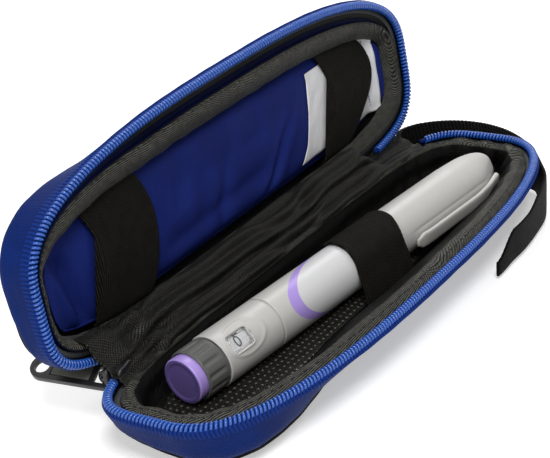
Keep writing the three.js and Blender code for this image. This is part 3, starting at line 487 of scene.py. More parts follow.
WARM_BLACK, DEEP_BLACK = (0.004, 0.004, 0.0037), (0.0015, 0.0015, 0.0015)
# Each cloth's second colour is painted highlight: the woven ones put it on thread crossings, the ribbed and
# twill ones on rib crests.
SHELL = woven("shell_cloth", (0.003, 0.003, 0.004), (0.014, 0.014, 0.016), 0.7, 0.8, 0.14, gloss=0.08)
BINDING = ribbed("binding_cloth", WARM_BLACK, (0.05, 0.048, 0.04), 0.5, 0.8, 0.25, gloss=0.1)
PIPING = ribbed("piping_cloth", WARM_BLACK, (0.02, 0.019, 0.016), 0.6, 0.8, 0.15, gloss=0.1)
LINING = woven("lining_cloth", DEEP_BLACK, (0.026, 0.025, 0.022), 0.4, 0.7, 0.2, 0.9, 0.10, gloss=0.12)
# The ridge's second colour is a bright painted glint along its twill ribs.
RIDGE = twill("ridge_twill", WARM_BLACK, (0.30, 0.295, 0.255), 0.45, 1.5, 0.35, gloss=0.12)
THREAD = plastic("black_thread", (0.012, 0.012, 0.011), 0.6, gloss=0.3)
BLUE_THREAD = plastic("blue_thread", (0.02, 0.06, 0.33), 0.5, gloss=0.3)
COIL = plastic("zip_coil", (0.012, 0.082, 0.40), 0.26, 0.01, gloss=0.6)
WEBBING = ribbed("webbing", DEEP_BLACK, (0.016, 0.0155, 0.0135), 0.65, 1.5, 0.3, True, 1.1, gloss=0.06)
ELASTIC = ribbed("elastic", (0.002, 0.0018, 0.0017), (0.034, 0.031, 0.025), 0.6, 0.95, 0.32, cross_pitch=0.5,
                 gloss=0.06)
FOAM = plastic("foam", (0.05, 0.052, 0.057), 0.95, 0.15)

COIL_PITCH, COIL_WIRE, COIL_OUT, COIL_UP = 1.35, 0.5, 1.1, 0.9
RIB_ROW = 3.2


def tape_finish(name, dark, light):
    """Zip tape: a row of ribs beside the coil, and fine close weave beyond it, with a random tone and
    painted highlights on its raised threads.
    """
    s = Shader(name, dark, 0.6, gloss=0.08)
    u, v = s.along()
    rib = s.wave(u, COIL_PITCH)
    weave = s.threads(u, v, 0.62, 0.8)
    near = s.math("LESS_THAN", v, RIB_ROW)
    far = s.math("SUBTRACT", 1.0, near)
    height = s.math("ADD", s.times(rib, near), s.times(weave, s.times(far, 0.5)))
    # Colour: random tone from noise, plus painted highlight where the ribs and threads stand up.
    s.paint(s.math("MULTIPLY_ADD", s.noise(0.09, 4), 0.45, s.times(height, 0.6)), dark, light)
    s.bump((s.noise(0.12), 0.3), (height, 0.16))
    return s.material


def mesh_finish(name, dotted):
    """Open diagonal knit with painted glints, and with light dots on it where dotted is 1."""
    s = Shader(name, (0.002, 0.002, 0.002), 0.35, gloss=0.14)
    u, v = s.along()
    holes = s.threads(s.math("ADD", u, v), s.math("SUBTRACT", u, v), 1.1)
    knit = s.math("SUBTRACT", 1.0, s.math("POWER", holes, 1.4))
    # Painted glints on the knit's threads, patchy by noise.
    glint = s.times(s.math("POWER", knit, 4.0), s.math("POWER", s.noise(1.1, 4), 1.5))
    dots = s.times(s.math("POWER", s.threads(u, v, 2.4), 5.0), dotted)
    cloth = s.blend(glint, (0.0005, 0.0005, 0.0005), (0.055, 0.053, 0.045))
    s.paint(dots, cloth, (0.24, 0.235, 0.20))
    s.bump((s.noise(0.12), 0.7), (knit, 0.4))
    return s.material


def pad_finish():
    """Brushed close-woven cloth with a faint nap and soft short creases."""
    s = Shader("pad_cloth", (0.010, 0.022, 0.16), 0.6, gloss=0.07)
    nap = s.math("MULTIPLY_ADD", s.noise(1.5, 4), 0.35, s.times(s.noise(0.07), 0.65))
    s.paint(nap, (0.004, 0.009, 0.078), (0.014, 0.028, 0.20))
    creases = s.noise(0.16, vector=s.place((1000, 260, 260)))
    s.bump((creases, 0.8), (s.noise(1.2), 0.04), (s.threads(*s.along(), 0.5), 0.05))
    return s.material


PEN_RADIUS, CAP_RADIUS = 8.9, 9.1


def print_finish():
    """The pen's label: barrel colour, a lavender band along its rounded end, and plain white."""
    s = Shader("pen_label", (0.62, 0.62, 0.62), 0.38, gloss=0.4)
    u, v = s.along()
    angle = s.math("PINGPONG", s.math("ADD", u, 0.14 * PEN_RADIUS), math.pi * PEN_RADIUS)
    bow = s.times(s.times(angle, angle), 8.5 / PEN_RADIUS ** 2)
    past = s.math("SUBTRACT", v, s.math("ADD", bow, 6.3))
    band = s.blend(s.math("GREATER_THAN", past, 0.0), (0.52, 0.51, 0.485), (0.40, 0.28, 0.70))
    s.paint(s.math("GREATER_THAN", past, 4.8), band, (0.62, 0.62, 0.625))
    s.bump((s.noise(3.0, 2), 0.008))
    return s.material


def label_finish():
    s = Shader("white_label", (0.78, 0.78, 0.8), 0.5)
    s.paint(s.noise(0.12, 4), (0.66, 0.66, 0.68), (0.80, 0.80, 0.81))
    s.bump((s.noise(0.22), 0.35), (s.threads(*s.along(), 0.5), 0.04))
    return s.material


# The tape's second colour is the painted highlight on its raised threads.
TAPE = tape_finish("zip_tape", (0.0010, 0.0065, 0.058), (0.0055, 0.034, 0.225))
# Painted shade: a darker copy of the tape, for its inner edge in the lid, which lies in shadow.
SHADED_TAPE = tape_finish("inner_tape_painted_shade", (0.001, 0.002, 0.016), (0.003, 0.010, 0.075))
NET, KNIT = mesh_finish("mesh_cloth", 1.0), mesh_finish("gusset_cloth", 0.0)
PAD, LABEL, PRINT = pad_finish(), label_finish(), print_finish()
GUNMETAL = plastic("gunmetal", (0.018, 0.018, 0.019), 0.32, 0.01, Metallic=0.35, gloss=0.6)
PULL_GREY = plastic("pull_grey", (0.06, 0.06, 0.052), 0.55, 0.08)
LAVENDER = plastic("lavender_plastic", (0.40, 0.28, 0.70), 0.35)
BUTTON_FACE = plastic("button_face", (0.10, 0.070, 0.23), 0.5, 0.03)
GRIP = plastic("grip_plastic", (0.105, 0.105, 0.10), 0.42, gloss=0.2)
PEN = plastic("pen_plastic", (0.52, 0.51, 0.485), 0.36, 0.008, gloss=0.4)
WHITE = plastic("white_plastic", (0.66, 0.66, 0.66), 0.4, 0.01)
INK = plastic("digit_ink", (0.02, 0.02, 0.022), 0.5)
LENS_CLEAR = plastic("clear_lens", (0.95, 0.97, 0.98), 0.06, 0.002, Transmission_Weight=1.0, IOR=1.45)
GLASS = plastic("cartridge_glass", (0.93, 0.97, 0.98), 0.03, 0.001, Transmission_Weight=1.0, IOR=1.5)
RUBBER = plastic("stopper_rubber", (0.03, 0.03, 0.033), 0.75, 0.05)
STEEL = plastic("spring_steel", (0.45, 0.46, 0.47), 0.28, 0.01, Metallic=1.0)


# Both halves: outer cloth, foam, tape, coil and lining
def disc_rows(row, shares):
    """Rows that close a ring inwards to its middle, in its own plane."""
    middle = row.mean(0)
    middle[2] = row[:, 2].mean()
    return np.stack([middle + (row - middle) * s for s in shares])


def bowl_rows(outer, inner):
    """One run of rows: inner floor, up the inside, over the rim, down the outside, outer floor."""
    floor_in = disc_rows(inner[-1], (0.1, 0.4, 0.7, 0.9))
    floor_out = disc_rows(outer[-1], (0.9, 0.7, 0.4, 0.1))
    return np.concatenate([floor_in, inner[::-1], outer, floor_out])


def outward_of(points):
    return points * np.array([0.3, 1, 0])


def shown(half, points):
    return opened(points) if half is LID else points


def case_half(half):
    name = half.name
    outer = wall_face(half, 0, 44)
    rise = (outer[..., 2] - half.base) * half.up
    calm = smooth(rise / 5) * smooth((half.wall - rise) / 3)
    soft = 0.28 * ripple(outer, 34, 3) + 0.10 * ripple(outer, 11, 4)
    outer = push(outer, calm * soft, outward_of(outer))
    cloth = bowl_rows(outer, wall_face(half, SHELL_CLOTH, 14))
    bowl(name + "_outer_cloth", shown(half, cloth), name, "shell_cloth", SHELL, node=name + "_shell")
    layers = bowl_rows(*(wall_face(half, depth, 14) for depth in FOAM_DEPTHS))
    foam = bowl(name + "_foam_layer", shown(half, layers), name, "foam", FOAM, node=name + "_foam")
    foot = zip_tape(half)
    zip_coil(half)
    joined(name + "_piping", [tube(shown(half, foot), 0.7, 10)], name, PIPING)


def zip_tape(half):
    """Zip tape, from under the coil down the wall to its foot. Returns the middle line of the foot."""
    count = 24

    def face(depth, top_in):
        rim, foot, turn_in = (wall_level(half, i, -depth) for i in range(3))
        top = (top_in,) * 3 + (half.depth - 1.7, 0, 0)
        under = (top_in - 0.35,) * 3 + (half.wall + 0.9, 0, 0)
        end = 0.4 * np.array(foot) + 0.6 * np.array(turn_in)
        rows = surface(half, ZIP, flow([top, under, rim, np.mean([rim, foot], 0), foot, end], count))
        # Narrower towards the slider
        narrow = 0.6 * (1 - smooth(runs(rows[:1]) / 40)) * smooth((np.arange(count) - 6) / 18)[:, None]
        return rows + (rows[6] - rows) * narrow[..., None]
    out, inside = face(1.15, -1.25), face(0.35, -0.65)
    run = runs(out[:1])
    wavy = 0.16 * np.sin(run / 6.1) * np.sin(run / 2.7 + 1)
    down = np.linspace(0, 1, count)[:, None]
    out = push(out, down * wavy + 0.1 * ripple(out, 14, 9) * down, outward_of(out), False)
    layered(half.name + "_tape", shown(half, out), shown(half, inside), half.name, "zip_tape", TAPE,
            node=half.name + "_zip_tape")
    return 0.5 * (out[-1] + inside[-1]) - np.array([0, 0, half.up * 0.5])


def zip_coil(half):
    """Nylon coil: one wire wound in long flat turns along the zip, with its cord inside."""
    ends = [2 * math.pi * (x > 0) + math.atan2(back_wall_at(x), x) for x in half.zip_ends]

    def line(steps):
        return surface(half, stretch(*ends, steps), [(0, 0, 0, half.depth - 1.6, 0, 0)])[0]
    centre = line(3600)
    turns = int(runs(centre)[-1] / COIL_PITCH) - 1
    phase = np.linspace(0, 2 * math.pi * turns, turns * 14 + 1)
    at = phase / (2 * math.pi) * COIL_PITCH + COIL_PITCH / 2
    middle = resampled(centre, at)
    along = np.gradient(middle, axis=0)
    out = unit(np.stack([along[:, 1], -along[:, 0], 0 * at], -1))
    up = np.array([0, 0, half.up])
    spin_out, spin_up = np.cos(phase)[:, None], np.sin(phase)[:, None]
    wire = middle + out * spin_out * COIL_OUT + up * spin_up * COIL_UP
    radial = out * spin_out + up * spin_up
    turned_radial = shown(half, radial) - shown(half, 0 * radial)
    joined(half.name + "_coil", [tube(shown(half, wire), COIL_WIRE, 6, turned_radial)],
           half.name, COIL, half.name + "_zip_teeth")
    joined(half.name + "_coil_cord", [tube(shown(half, line(500)), 0.8, 8)], half.name, TAPE)


def roll_level(roll, share, height, flare, draw):
    """A level of a lining's rolled edge; roll is its width at the ends, at the front and at the back."""
    end, front, back = np.multiply(roll, share) + LINING_DEPTH
    return end - RIM_OUT, front - RIM_OUT, back, height, flare, draw


MESH_FLOOR_Z = 4.62
FLOOR_ROWS = 4


def marked(points, rows, *bands):
    """Finishes of the rows of a lining; a band is (first row, end row, finish), counted from its rim."""
    finish = np.zeros(len(points), int)
    for first, end, value in bands:
        finish[FLOOR_ROWS + rows - end:FLOOR_ROWS + rows - first] = value
    return finish


def tray_lining():
    roll = [(0.0, 0.1, 0, 0, 0), (0.15, 0.75, 0, 0, 0), (0.5, 1, 0, 0, 0), (0.9, 0.3, 0, 0.1, 0.05),
            (1, 0, 0.35, 0.3, 0.35), (0.7, 0, 0.8, 0.8, 0.8)]
    levels = [roll_level((4.8, 5, 2), share, TRAY.wall + 1.3 * rise - 9 * drop, flare, draw)
              for share, rise, drop, flare, draw in roll]
    levels += [wall_level(TRAY, i, LINING_DEPTH + LINING_WALL) for i in (2, 3, 4)]
    count = 80
    inner = surface(TRAY, OUTLINE, flow(levels, count))
    run = runs(inner[20:21])
    row = np.linspace(0, 1, count)[:, None]
    soft_part = 0.5 * smooth((0.5 - row) / 0.15) + smooth((row - 0.3) / 0.2) * smooth((0.97 - row) / 0.12)
    x = inner[..., 0]
    gather = np.maximum(smooth((x - 55) / 35), 0.45 * smooth((-70 - x) / 20))
    pleat = np.sin(run / 1.55 + 1.4 * np.sin(run / 7.7)) * 0.55 + np.sin(run / 3.4 + 0.6) * 0.35
    soft = 0.30 * ripple(inner, 26, 21) + 0.16 * ripple(inner, 9, 22)
    amount = gather * pleat * smooth(row / 0.12) * smooth((0.9 - row) / 0.3) + soft * soft_part
    swell = 0.9 * bell(row, 0.3, 0.14) * smooth(-OUTLINE[:, 1] / 0.4)
    inner = push(inner, -0.3 - amount * 0.9 - swell, outward_of(inner))
    points = bowl_rows(wall_face(TRAY, LINING_DEPTH, 12), inner)
    bowl("tray_lining_cloth", points, "tray", "lining", [LINING, RIDGE, BINDING],
         row_finish=marked(points, count, (0, 30, 1), (0, 4, 2)), node="tray_lining")
    stitches("tray_binding_stitches", inner[17] + [0, 0, 0.12], "tray", THREAD, 2.6, 1.9, 0.18)

    net = surface(TRAY, OUTLINE, [wall_level(TRAY, 4, LINING_DEPTH + LINING_WALL)])[0]
    net[:, 2] = MESH_FLOOR_Z
    rows = disc_rows(net, np.linspace(1, 0.02, 40))
    wave = 0.18 + 0.14 * ripple(rows, 22, 31) + 0.06 * ripple(rows, 8, 32)
    top = rows + np.array([0, 0, 1.0]) * (0.42 + wave * smooth(np.linspace(0, 6, 40))[:, None])[..., None]
    floor = bowl("tray_mesh_cloth", np.concatenate([rows[::-1], top]), "tray", "mesh_cloth", NET,
                 node="tray_mesh_floor", planar=True)


def lid_lining():
    """Twill ridge round the pad, and towards the zip the tape's inner edge, which widens along the front and
    is painted in a darker copy of the tape's colour as shade.
    """
    count = 110

    def rows(*profile):
        """A profile's points are (share of the roll's width, rise, drop, turn under, flare, draw-in)."""
        tip = ((0.8, 0.1, 0.3, 0, 0.3, 0), (1, 0, 1, 0, 0.5, 0), (0.9, 0, 1, 1, 0.5, 0),
               (0.3, 0, 1, 2, 0.7, 0.6))
        levels = [roll_level((4, 13.5, 3), share, LID.wall + 1.6 * rise - 4.2 * drop - 0.8 * under, *rest)
                  for share, rise, drop, under, *rest in profile + tip]
        levels += [wall_level(LID, i, LINING_DEPTH + LINING_WALL) for i in (3, 4)]
        return surface(LID, OUTLINE, flow(levels, count))
    close = rows((0, 0.1, 0, 0, 0, 0), (0.01, 0.4, 0, 0, 0, 0), (0.03, 0.6, 0, 0, 0, 0),
                 (0.1, 0.75, 0, 0, 0, 0), (0.3, 0.7, 0, 0, 0, 0), (0.55, 0.4, 0.05, 0, 0.1, 0))
    wide = rows((0, -0.9, 0, 0, 0, 0), (0.16, -1.5, 0, 0, 0, 0), (0.3, -1.4, 0, 0, 0, 0),
                (0.31, 0.3, 0, 0, 0, 0), (0.45, 0.85, 0, 0, 0, 0), (0.62, 0.5, 0, 0, 0.1, 0))
    share = (smooth((close[0, :, 0] + 96) / 60) * smooth(-OUTLINE[:, 1] / 0.5))[None, :, None]
    inner = close + (wide - close) * share
    row = np.linspace(0, 1, count)[:, None]
    run = runs(inner[30:31])
    soft = 0.25 * ripple(inner, 30, 41) + 0.12 * ripple(inner, 10, 42) + 0.10 * np.sin(run / 2.1)
    amount = soft * smooth((row - 0.25) / 0.08) * smooth((0.7 - row) / 0.08)
    inner = push(inner, amount, np.array([0.0, 0.0, -1.0]))
    points = bowl_rows(wall_face(LID, LINING_DEPTH, 12), inner)
    # The rows next to the rim take the tape's darker copy, painted shade over its inner edge.
    bowl("lid_lining_cloth", opened(points), "lid", "lining", [LINING, BINDING, RIDGE, SHADED_TAPE],
         row_finish=marked(points, count, (31, 70, 2), (28, 31, 1), (0, 28, 3)), node="lid_lining")
    seam = opened(inner[33] - [0, 0, 0.1])
    stitches("lid_binding_stitches", seam, "lid", THREAD, 2.6, 1.9, 0.18)


# Cooling pad, its label and the elastic bands over it
PAD_LENGTH, PAD_FRONT, PAD_BACK, PAD_EDGE_Z = HALF - 9.2, FRONT - 15.6, BACK - 7.2, 31.1


def pad_reach(x, front):
    """How far the pad reaches in Y, a little less in the middle of its length."""
    return np.where(front, PAD_FRONT, PAD_BACK) - 1.2 * np.cos(x / PAD_LENGTH * math.pi / 2)


def pad_share(x, y):
    power = np.where(y < 0, FRONT_POWER, BACK_POWER)
    return (np.abs(x / PAD_LENGTH) ** power + np.abs(y / pad_reach(x, y < 0)) ** power) ** (1 / power)


def crease(at, width):
    """A valley with a soft swell on either side."""
    return bell(at, 0, width) - 0.45 * bell(np.abs(at), 2.2 * width, 1.3 * width)


def pad_folds(x, y):
    """How far the pad's face stands out of its plain crown, in mm."""
    swell = smooth((x + 50) / 14) * smooth((54 - x) / 14)
    wander = 2.2 * np.sin(y / 8) + 1.1 * np.sin(y / 3.7 + x / 30)
    folds = 0.26 * np.sin((x + wander) / 2.1) * smooth((18 - np.abs(x + 28)) / 14)
    folds = folds + 0.34 * np.sin((x + wander) / 3.3 + 1) * smooth((16 - np.abs(x - 22)) / 14)
    diagonal = 1.5 * crease(x - 0.9 * (20 - y) - 18, 2.4) * smooth((y + 4) / 14) * smooth((46 - x) / 8)
    second = 0.9 * crease(x + 0.35 * y + 4, 2.8) * smooth((y + 8) / 20)
    lower = 0.8 * crease(y - 13 + 0.06 * x, 3.0) * smooth((x + 46) / 12) * smooth((30 - x) / 20)
    end = 5.5 * bell(x, 0.22 * (y - 8) - 83.5, 2.8) * smooth((y + 8) / 10)
    tongue = 3.4 * bell(x, 0.3 * (y - 8) - 89.5, 2.3) * smooth((y + 6) / 10)
    side = 2.6 * bell(x, 0.5 * y - 90, 1.8) * smooth((6 - y) / 10)
    return np.maximum(0.8 * swell + folds - diagonal - second - lower - end - side + tongue, -5.5)


def pad_height(x, y, rho, towards_tray):
    fullness = 1 - np.minimum(rho, 1) ** 8
    edge = PAD_EDGE_Z - 4.4 * smooth((np.abs(x) - PAD_LENGTH + 9) / 9)
    if not towards_tray:
        return edge + fullness * 2.5
    return edge - fullness * (2.9 + pad_folds(x, y))


def cooling_pad():
    def side(rho, towards_tray):
        rho = rho[:, None]
        x = rho * PAD_LENGTH * OUTLINE[:, 0]
        y = rho * pad_reach(x, OUTLINE[:, 1] < 0) * OUTLINE[:, 1]
        return np.stack([x, y, pad_height(x, y, rho, towards_tray)], -1)
    near_edge = 1 - 0.1 * np.cos(np.linspace(0, math.pi / 2, 14))[1:]
    face = side(np.concatenate([np.linspace(0.02, 0.9, 60), near_edge]), True)
    back = side(np.linspace(0.97, 0.02, 20), False)
    edge = face[-1]
    rim = (edge + [0, 0, 0.35])[None]
    pad = bowl("gel_pad", opened(np.concatenate([face, rim, back])), "lid", "pad_cloth", PAD,
               node="cooling_pad")
    seam = tube(opened(np.concatenate([edge, edge[:2]])), 0.45, 8, (0, 1, 0))
    joined("gel_pad_piping", [seam], "lid", PAD)


def on_pad(x, y, lift):
    """Points over the pad's face, lift mm towards the tray."""
    return np.stack([x, y, pad_height(x, y, pad_share(x, y), True) - lift], -1)


def pad_label():
    y = np.linspace(-10.5, 20, 40)[:, None]
    start = 47.2 - 0.34 * (y - 3) - 0.012 * (y - 4) ** 2
    x = start + (93.5 - start) * np.linspace(0, 1, 70)
    y = np.broadcast_to(y, x.shape)
    under, over = on_pad(x, y, 0.25), on_pad(x, y, 0.43)
    for sheet in (under, over):
        sheet[..., 2] -= 0.12 + 0.12 * ripple(under, 7, 51)
    label = layered("pad_label_cloth", opened(under), opened(over), "lid", "white_label", LABEL,
                    node="pad_label")
    cloth_sheet(over)
    seam = over[:, -7] + np.array([1.0, 0, 0]) * (0.9 * np.sin(y[:, 0] / 2.4))[:, None] - [0, 0, 0.1]
    stitches("pad_label_stitches", opened(seam), "lid", BLUE_THREAD, 1.3, 1.1, 0.16, (0, 1, 0))


def mouth(x, front):
    end, reach = HALF - 7, (FRONT - 16.5) if front else (BACK - 6.6)
    power = FRONT_POWER if front else BACK_POWER
    return reach * (1 - np.abs(x / end) ** power) ** (1 / power)


LID_BAND_Z = 27.35


def lid_elastic(name, left, right, bulge, node):
    """A band across the pad: left and right are its edges, as (front, middle, back) places in X."""
    t, across = np.linspace(0, 1, 60)[:, None], np.linspace(0, 1, 40)
    edge = [a * (1 - t) * (1 - 2 * t) + 4 * m * t * (1 - t) + b * t * (2 * t - 1)
            for a, m, b in (left, right)]
    x = edge[0] + (edge[1] - edge[0]) * across
    front, back = -mouth(x, True) - 1.2, mouth(x, False) + 0.6
    y = front + (back - front) * t
    arch = bulge * np.sin(math.pi * t) ** 0.8
    selvedge = 0.22 * (bell(across, 0.05, 0.03) + bell(across, 0.95, 0.03))
    wave = 0.12 * ripple(np.stack([x, y, 0 * x], -1), 12, 61)
    sunk_ends = 0.9 * smooth((0.06 - t) / 0.06) + 0.9 * smooth((t - 0.94) / 0.06)
    top = np.stack([x, y, LID_BAND_Z - arch - selvedge - wave + sunk_ends], -1)
    layered(name, opened(top), opened(top + [0, 0, 0.75]), "lid", "elastic", ELASTIC, node=node)


# Cloth along the hinge
def hinge_cloth():
    x, t = np.linspace(-93, 90, 300)[None], np.linspace(0, 1, 60)[:, None]
    high = flow([(25.6, 17.0), (28.2, 20.6), (31.0, 21.2), (33.0, 24.6), (36.4, 27.4), (40.6, 26.6)], 60)
    low = flow([(25.6, 17.0), (27.8, 19.0), (30.4, 19.2), (33.0, 18.8), (36.0, 18.0), (40.0, 18.6)], 60)
    flat = smooth((x - 60) / 12)
    y, z = (high[:, k:k + 1] + (low - high)[:, k:k + 1] * flat for k in (0, 1))
    draw, over = BACK - back_wall_at(x), smooth((t - 0.35) / 0.5)
    points = np.stack(np.broadcast_arrays(x, y - draw * (1 - over), z + draw * over), -1)
    across = 58 * t
    wander = 3.5 * np.sin(x / 17 + 1) + 2.0 * np.sin(x / 7.3)
    folds = 1.0 * np.sin((across + wander) / 2.2) + 0.8 * np.sin((across - 1.4 * wander) / 3.7 + x / 24)
    folds = folds * (1 - 0.75 * flat) * (0.45 + 0.55 * smooth((x + 90) / 30))
    pleats = 0.75 * np.sin(x / 1.9 + 1.3 * np.sin(x / 9) + t * 3) * smooth((-50 - x) / 24)
    lift = smooth(np.minimum(t, 1 - t) / 0.12) * (0.2 + folds + pleats + 0.3 * ripple(points, 12, 71))
    outward = np.array([0, -0.5, 1.0])
    top = push(points, lift, outward, False)
    under = push(top, np.full(top.shape[:2], -0.45), outward, False)
    cloth = layered("hinge_gusset", top, under, None, None, KNIT)
    cloth_sheet(top)
    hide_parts("hinge_lining")
    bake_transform(cloth)

    def wrap(radius):
        """Up the tray's back wall, round the hinge and along the lid's, radius mm from the hinge line."""
        bends = [math.pi - k * OPEN for k in (0.2, 0.5, 0.8)]
        arc = [[HINGE_Y + radius * math.cos(a), HINGE_Z + radius * math.sin(a)] for a in bends]
        tray, lid = ([[0.0, HINGE_Y - radius, HINGE_Z + k] for k in rise]
                     for rise in ((-9, -4, 0), (0, 4, 9)))
        rows = flow([p[1:] for p in tray] + arc + opened(np.array(lid))[:, 1:].tolist(), 40)
        return np.stack(np.broadcast_arrays(np.linspace(-74, 74, 180)[None], rows[:, :1], rows[:, 1:]), -1)
    outer = wrap(0.7)
    spine = layered("hinge_spine_cloth", outer, wrap(0.2), None, None, SHELL)
    cloth_sheet(outer)
    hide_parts("hinge_spine")
    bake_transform(spine)


# Webbing strap: shares of the case's outline that its middle line runs through, and its width
STRAP_SHARES = np.array([
    [0.74, 0.985], [0.83, 1.02], [0.9, 1.13], [0.95, 1.25], [1, 1.3], [1.06, 1.2], [1.115, 0.93],
    [1.135, 0.52], [1.1, 0.06], [0.995, -0.42], [0.88, -0.72], [0.775, -0.94], [0.64, -1.04], [0.48, -1.09],
    [0.33, -1.05]])
STRAP_WIDTH = 17.4


def route_through(points, count):
    """Centripetal Catmull-Rom curve through points, evenly spaced."""
    padded = np.concatenate([[2 * points[0] - points[1]], points, [2 * points[-1] - points[-2]]])
    parts = []
    for a, b, c, d in zip(padded, padded[1:], padded[2:], padded[3:]):
        k = np.cumsum([0] + [np.linalg.norm(q - p) ** 0.5 for p, q in ((a, b), (b, c), (c, d))])
        t = np.linspace(k[1], k[2], 60, endpoint=False)[:, None]
        def mix(p, q, i, j):
            return p * (k[j] - t) / (k[j] - k[i]) + q * (t - k[i]) / (k[j] - k[i])
        ab, bc, cd = mix(a, b, 0, 1), mix(b, c, 1, 2), mix(c, d, 2, 3)
        parts.append(mix(mix(ab, bc, 0, 2), mix(bc, cd, 1, 3), 1, 2))
    path = np.concatenate(parts + [points[-1:]])
    return resampled(path, np.linspace(0, runs(path)[-1], count))


def webbing_strap():
    path = route_through(in_mm(STRAP_SHARES), 420)
    along = np.gradient(path, axis=0)
    side = unit(np.stack([-along[:, 1], along[:, 0]], -1))
    t, run = np.linspace(0, 1, 420), runs(path)
    c, s = circle(44)
    up_share, out_share = 0.5 + 0.5 * squared(s, 0.45), squared(c, 0.35)

    def band(rows, offset, low, high):
        flat = path[rows, None] + side[rows, None] * offset[..., None]
        z = low[rows, None] + (high - low)[rows, None] * up_share
        return np.concatenate([flat, z[..., None]], -1)
    # Its end tapers, its edges are scalloped by the weave, and towards the front it narrows from both edges
    taper = smooth((t - 0.92) / 0.08)
    scallop = 0.18 * np.abs(np.sin(run * math.pi / 1.6))
    front = smooth((t - 0.45) / 0.2)
    low = taper + 0.02 + scallop * 0.6 + 1.4 * front * (1 - taper)
    drop = 3.4 * smooth((78 - path[:, 0]) / 20) + 7.4 * smooth((47 - path[:, 0]) / 12)
    high = STRAP_WIDTH - drop * front - scallop
    # It leans a little, and its lower edge turns in at the far end
    half = 0.62 + 0.12 * 0.18 * np.cos(up_share * 6 * math.pi)
    lean = 0.5 * np.sin(run / 23)[:, None] * (up_share - 0.5)
    inward = 8.5 * smooth((t - 0.2) / 0.16) * smooth((0.6 - t) / 0.12) + 1.4 * front
    tucked = (inward * (1 - taper))[:, None] * (1 - up_share)
    tail = band(slice(None), out_share * half + lean - tucked, low, high)
    bowl("webbing_tail", tail, "tray", "webbing", WEBBING, node="webbing_strap")
    # The doubled stretch where its end is sewn back on itself
    fold = np.broadcast_to(1.35 + out_share * 0.6, (56, 44))
    bowl("webbing_fold", band(slice(40, 96), fold, low + 0.4, high - 0.4), "tray", "webbing", WEBBING)


# Zip slider and pull
SLIDER_AT, SLIDER_YAW = np.array([-88.3, 28.447, 20.15]), math.radians(10)


def slider_frame(points):
    c, s = math.cos(SLIDER_YAW), math.sin(SLIDER_YAW)
    x, y = points[..., 0], points[..., 1]
    return SLIDER_AT + np.stack([x * c - y * s, x * s + y * c, points[..., 2]], -1)


def slab_rows(outline, low, high, edge):
    """Rings of a rounded slab: outline is (n, 2) in X and Z, low to high runs in Y."""
    middle = outline.mean(0)
    reach = np.abs(outline - middle).max()
    bends = np.linspace(0, math.pi / 2, 5)
    half = [(0.3, 0.0), (0.7, 0.0)]
    half += [(1 - edge / reach * (1 - math.sin(a)), edge * (1 - math.cos(a))) for a in bends]
    rings = [(scale, low + depth) for scale, depth in half]
    rings += [(scale, high - depth) for scale, depth in half[::-1]]
    return np.stack([np.insert((outline - middle) * scale + middle, 1, y, axis=1) for scale, y in rings])


def slider():
    c, s = circle(60)
    waist = 1 - 0.16 * bell(c, -0.1, 0.35)
    plate = np.stack([4.1 * squared(c, 0.75), 2.9 * squared(s, 0.6) * waist], -1)
    outer = plate * [1.0, 1.35] - [0.0, 1.1]
    post = np.stack([2.3 * c, 1.9 * s], -1)
    t = np.linspace(0, math.pi, 28)
    arch = np.stack([0 * t, 2.7 + 4.0 * np.sin(t) ** 0.8, -2.9 + 2.0 * np.cos(t)], -1)
    parts = [slab_rows(plate, -3.0, -1.6, 0.6), slab_rows(outer, 1.4, 3.7, 0.9),
             slab_rows(post, -2.2, 2.2, 0.2), tube(arch, 0.7 + 0.3 * np.abs(np.cos(t)), 12, (1, 0, 0))]
    joined("slider_body", [slider_frame(p) for p in parts], "tray", GUNMETAL, "zip_slider")


def softened(node, name, body, finish, width, segments=3):
    """A copy of a CAD node's mesh with rounded edges, which stands for it."""
    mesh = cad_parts[node].data.copy()
    mesh.name = name
    mesh.materials.clear()
    mesh.materials.append(finish)
    mesh.polygons.foreach_set("use_smooth", [True] * len(mesh.polygons))
    obj = placed(name, mesh)
    weld = obj.modifiers.new("weld", "WELD")
    weld.merge_threshold = 0.01 * MM
    bevel = obj.modifiers.new("bevel", "BEVEL")
    bevel.width, bevel.segments = width * MM, segments
    bevel.limit_method, bevel.angle_limit = "ANGLE", math.radians(28)
    attached(obj, body, node)


# Pen
PEN_AT = np.array([-78.4, 13.2, 13.8])
PEN_X = np.array([0.99309, -0.11578, 0.0192])
PEN_Y = np.array([0.05983, 0.64017, 0.7659])
PEN_Z = np.array([-0.10097, -0.75946, 0.64267])


def on_pen(s, radius, angle):
    """Points round the pen's axis: angle 0 is the side with the dose window."""
    s, radius, angle = np.broadcast_arrays(s, radius, angle)
    return (PEN_AT + s[..., None] * PEN_X + (radius * np.cos(angle))[..., None] * PEN_Z
            + (radius * np.sin(angle))[..., None] * PEN_Y)


AROUND = np.linspace(0, 2 * math.pi, 144, endpoint=False)


def softened_profile(profile, round_by):
    """Rounds the corners of a profile of (s, r) pairs."""
    profile = [np.array(p, float) for p in profile]
    out = [profile[0]]
    for a, b, c in zip(profile, profile[1:], profile[2:]):
        p, q = (b + unit(v) * min(round_by, np.linalg.norm(v) * 0.45) for v in (a - b, c - b))
        out += [p * (1 - t) ** 2 + 2 * b * t * (1 - t) + q * t * t for t in np.linspace(0, 1, 5)]
    return np.array(out + [profile[-1]])


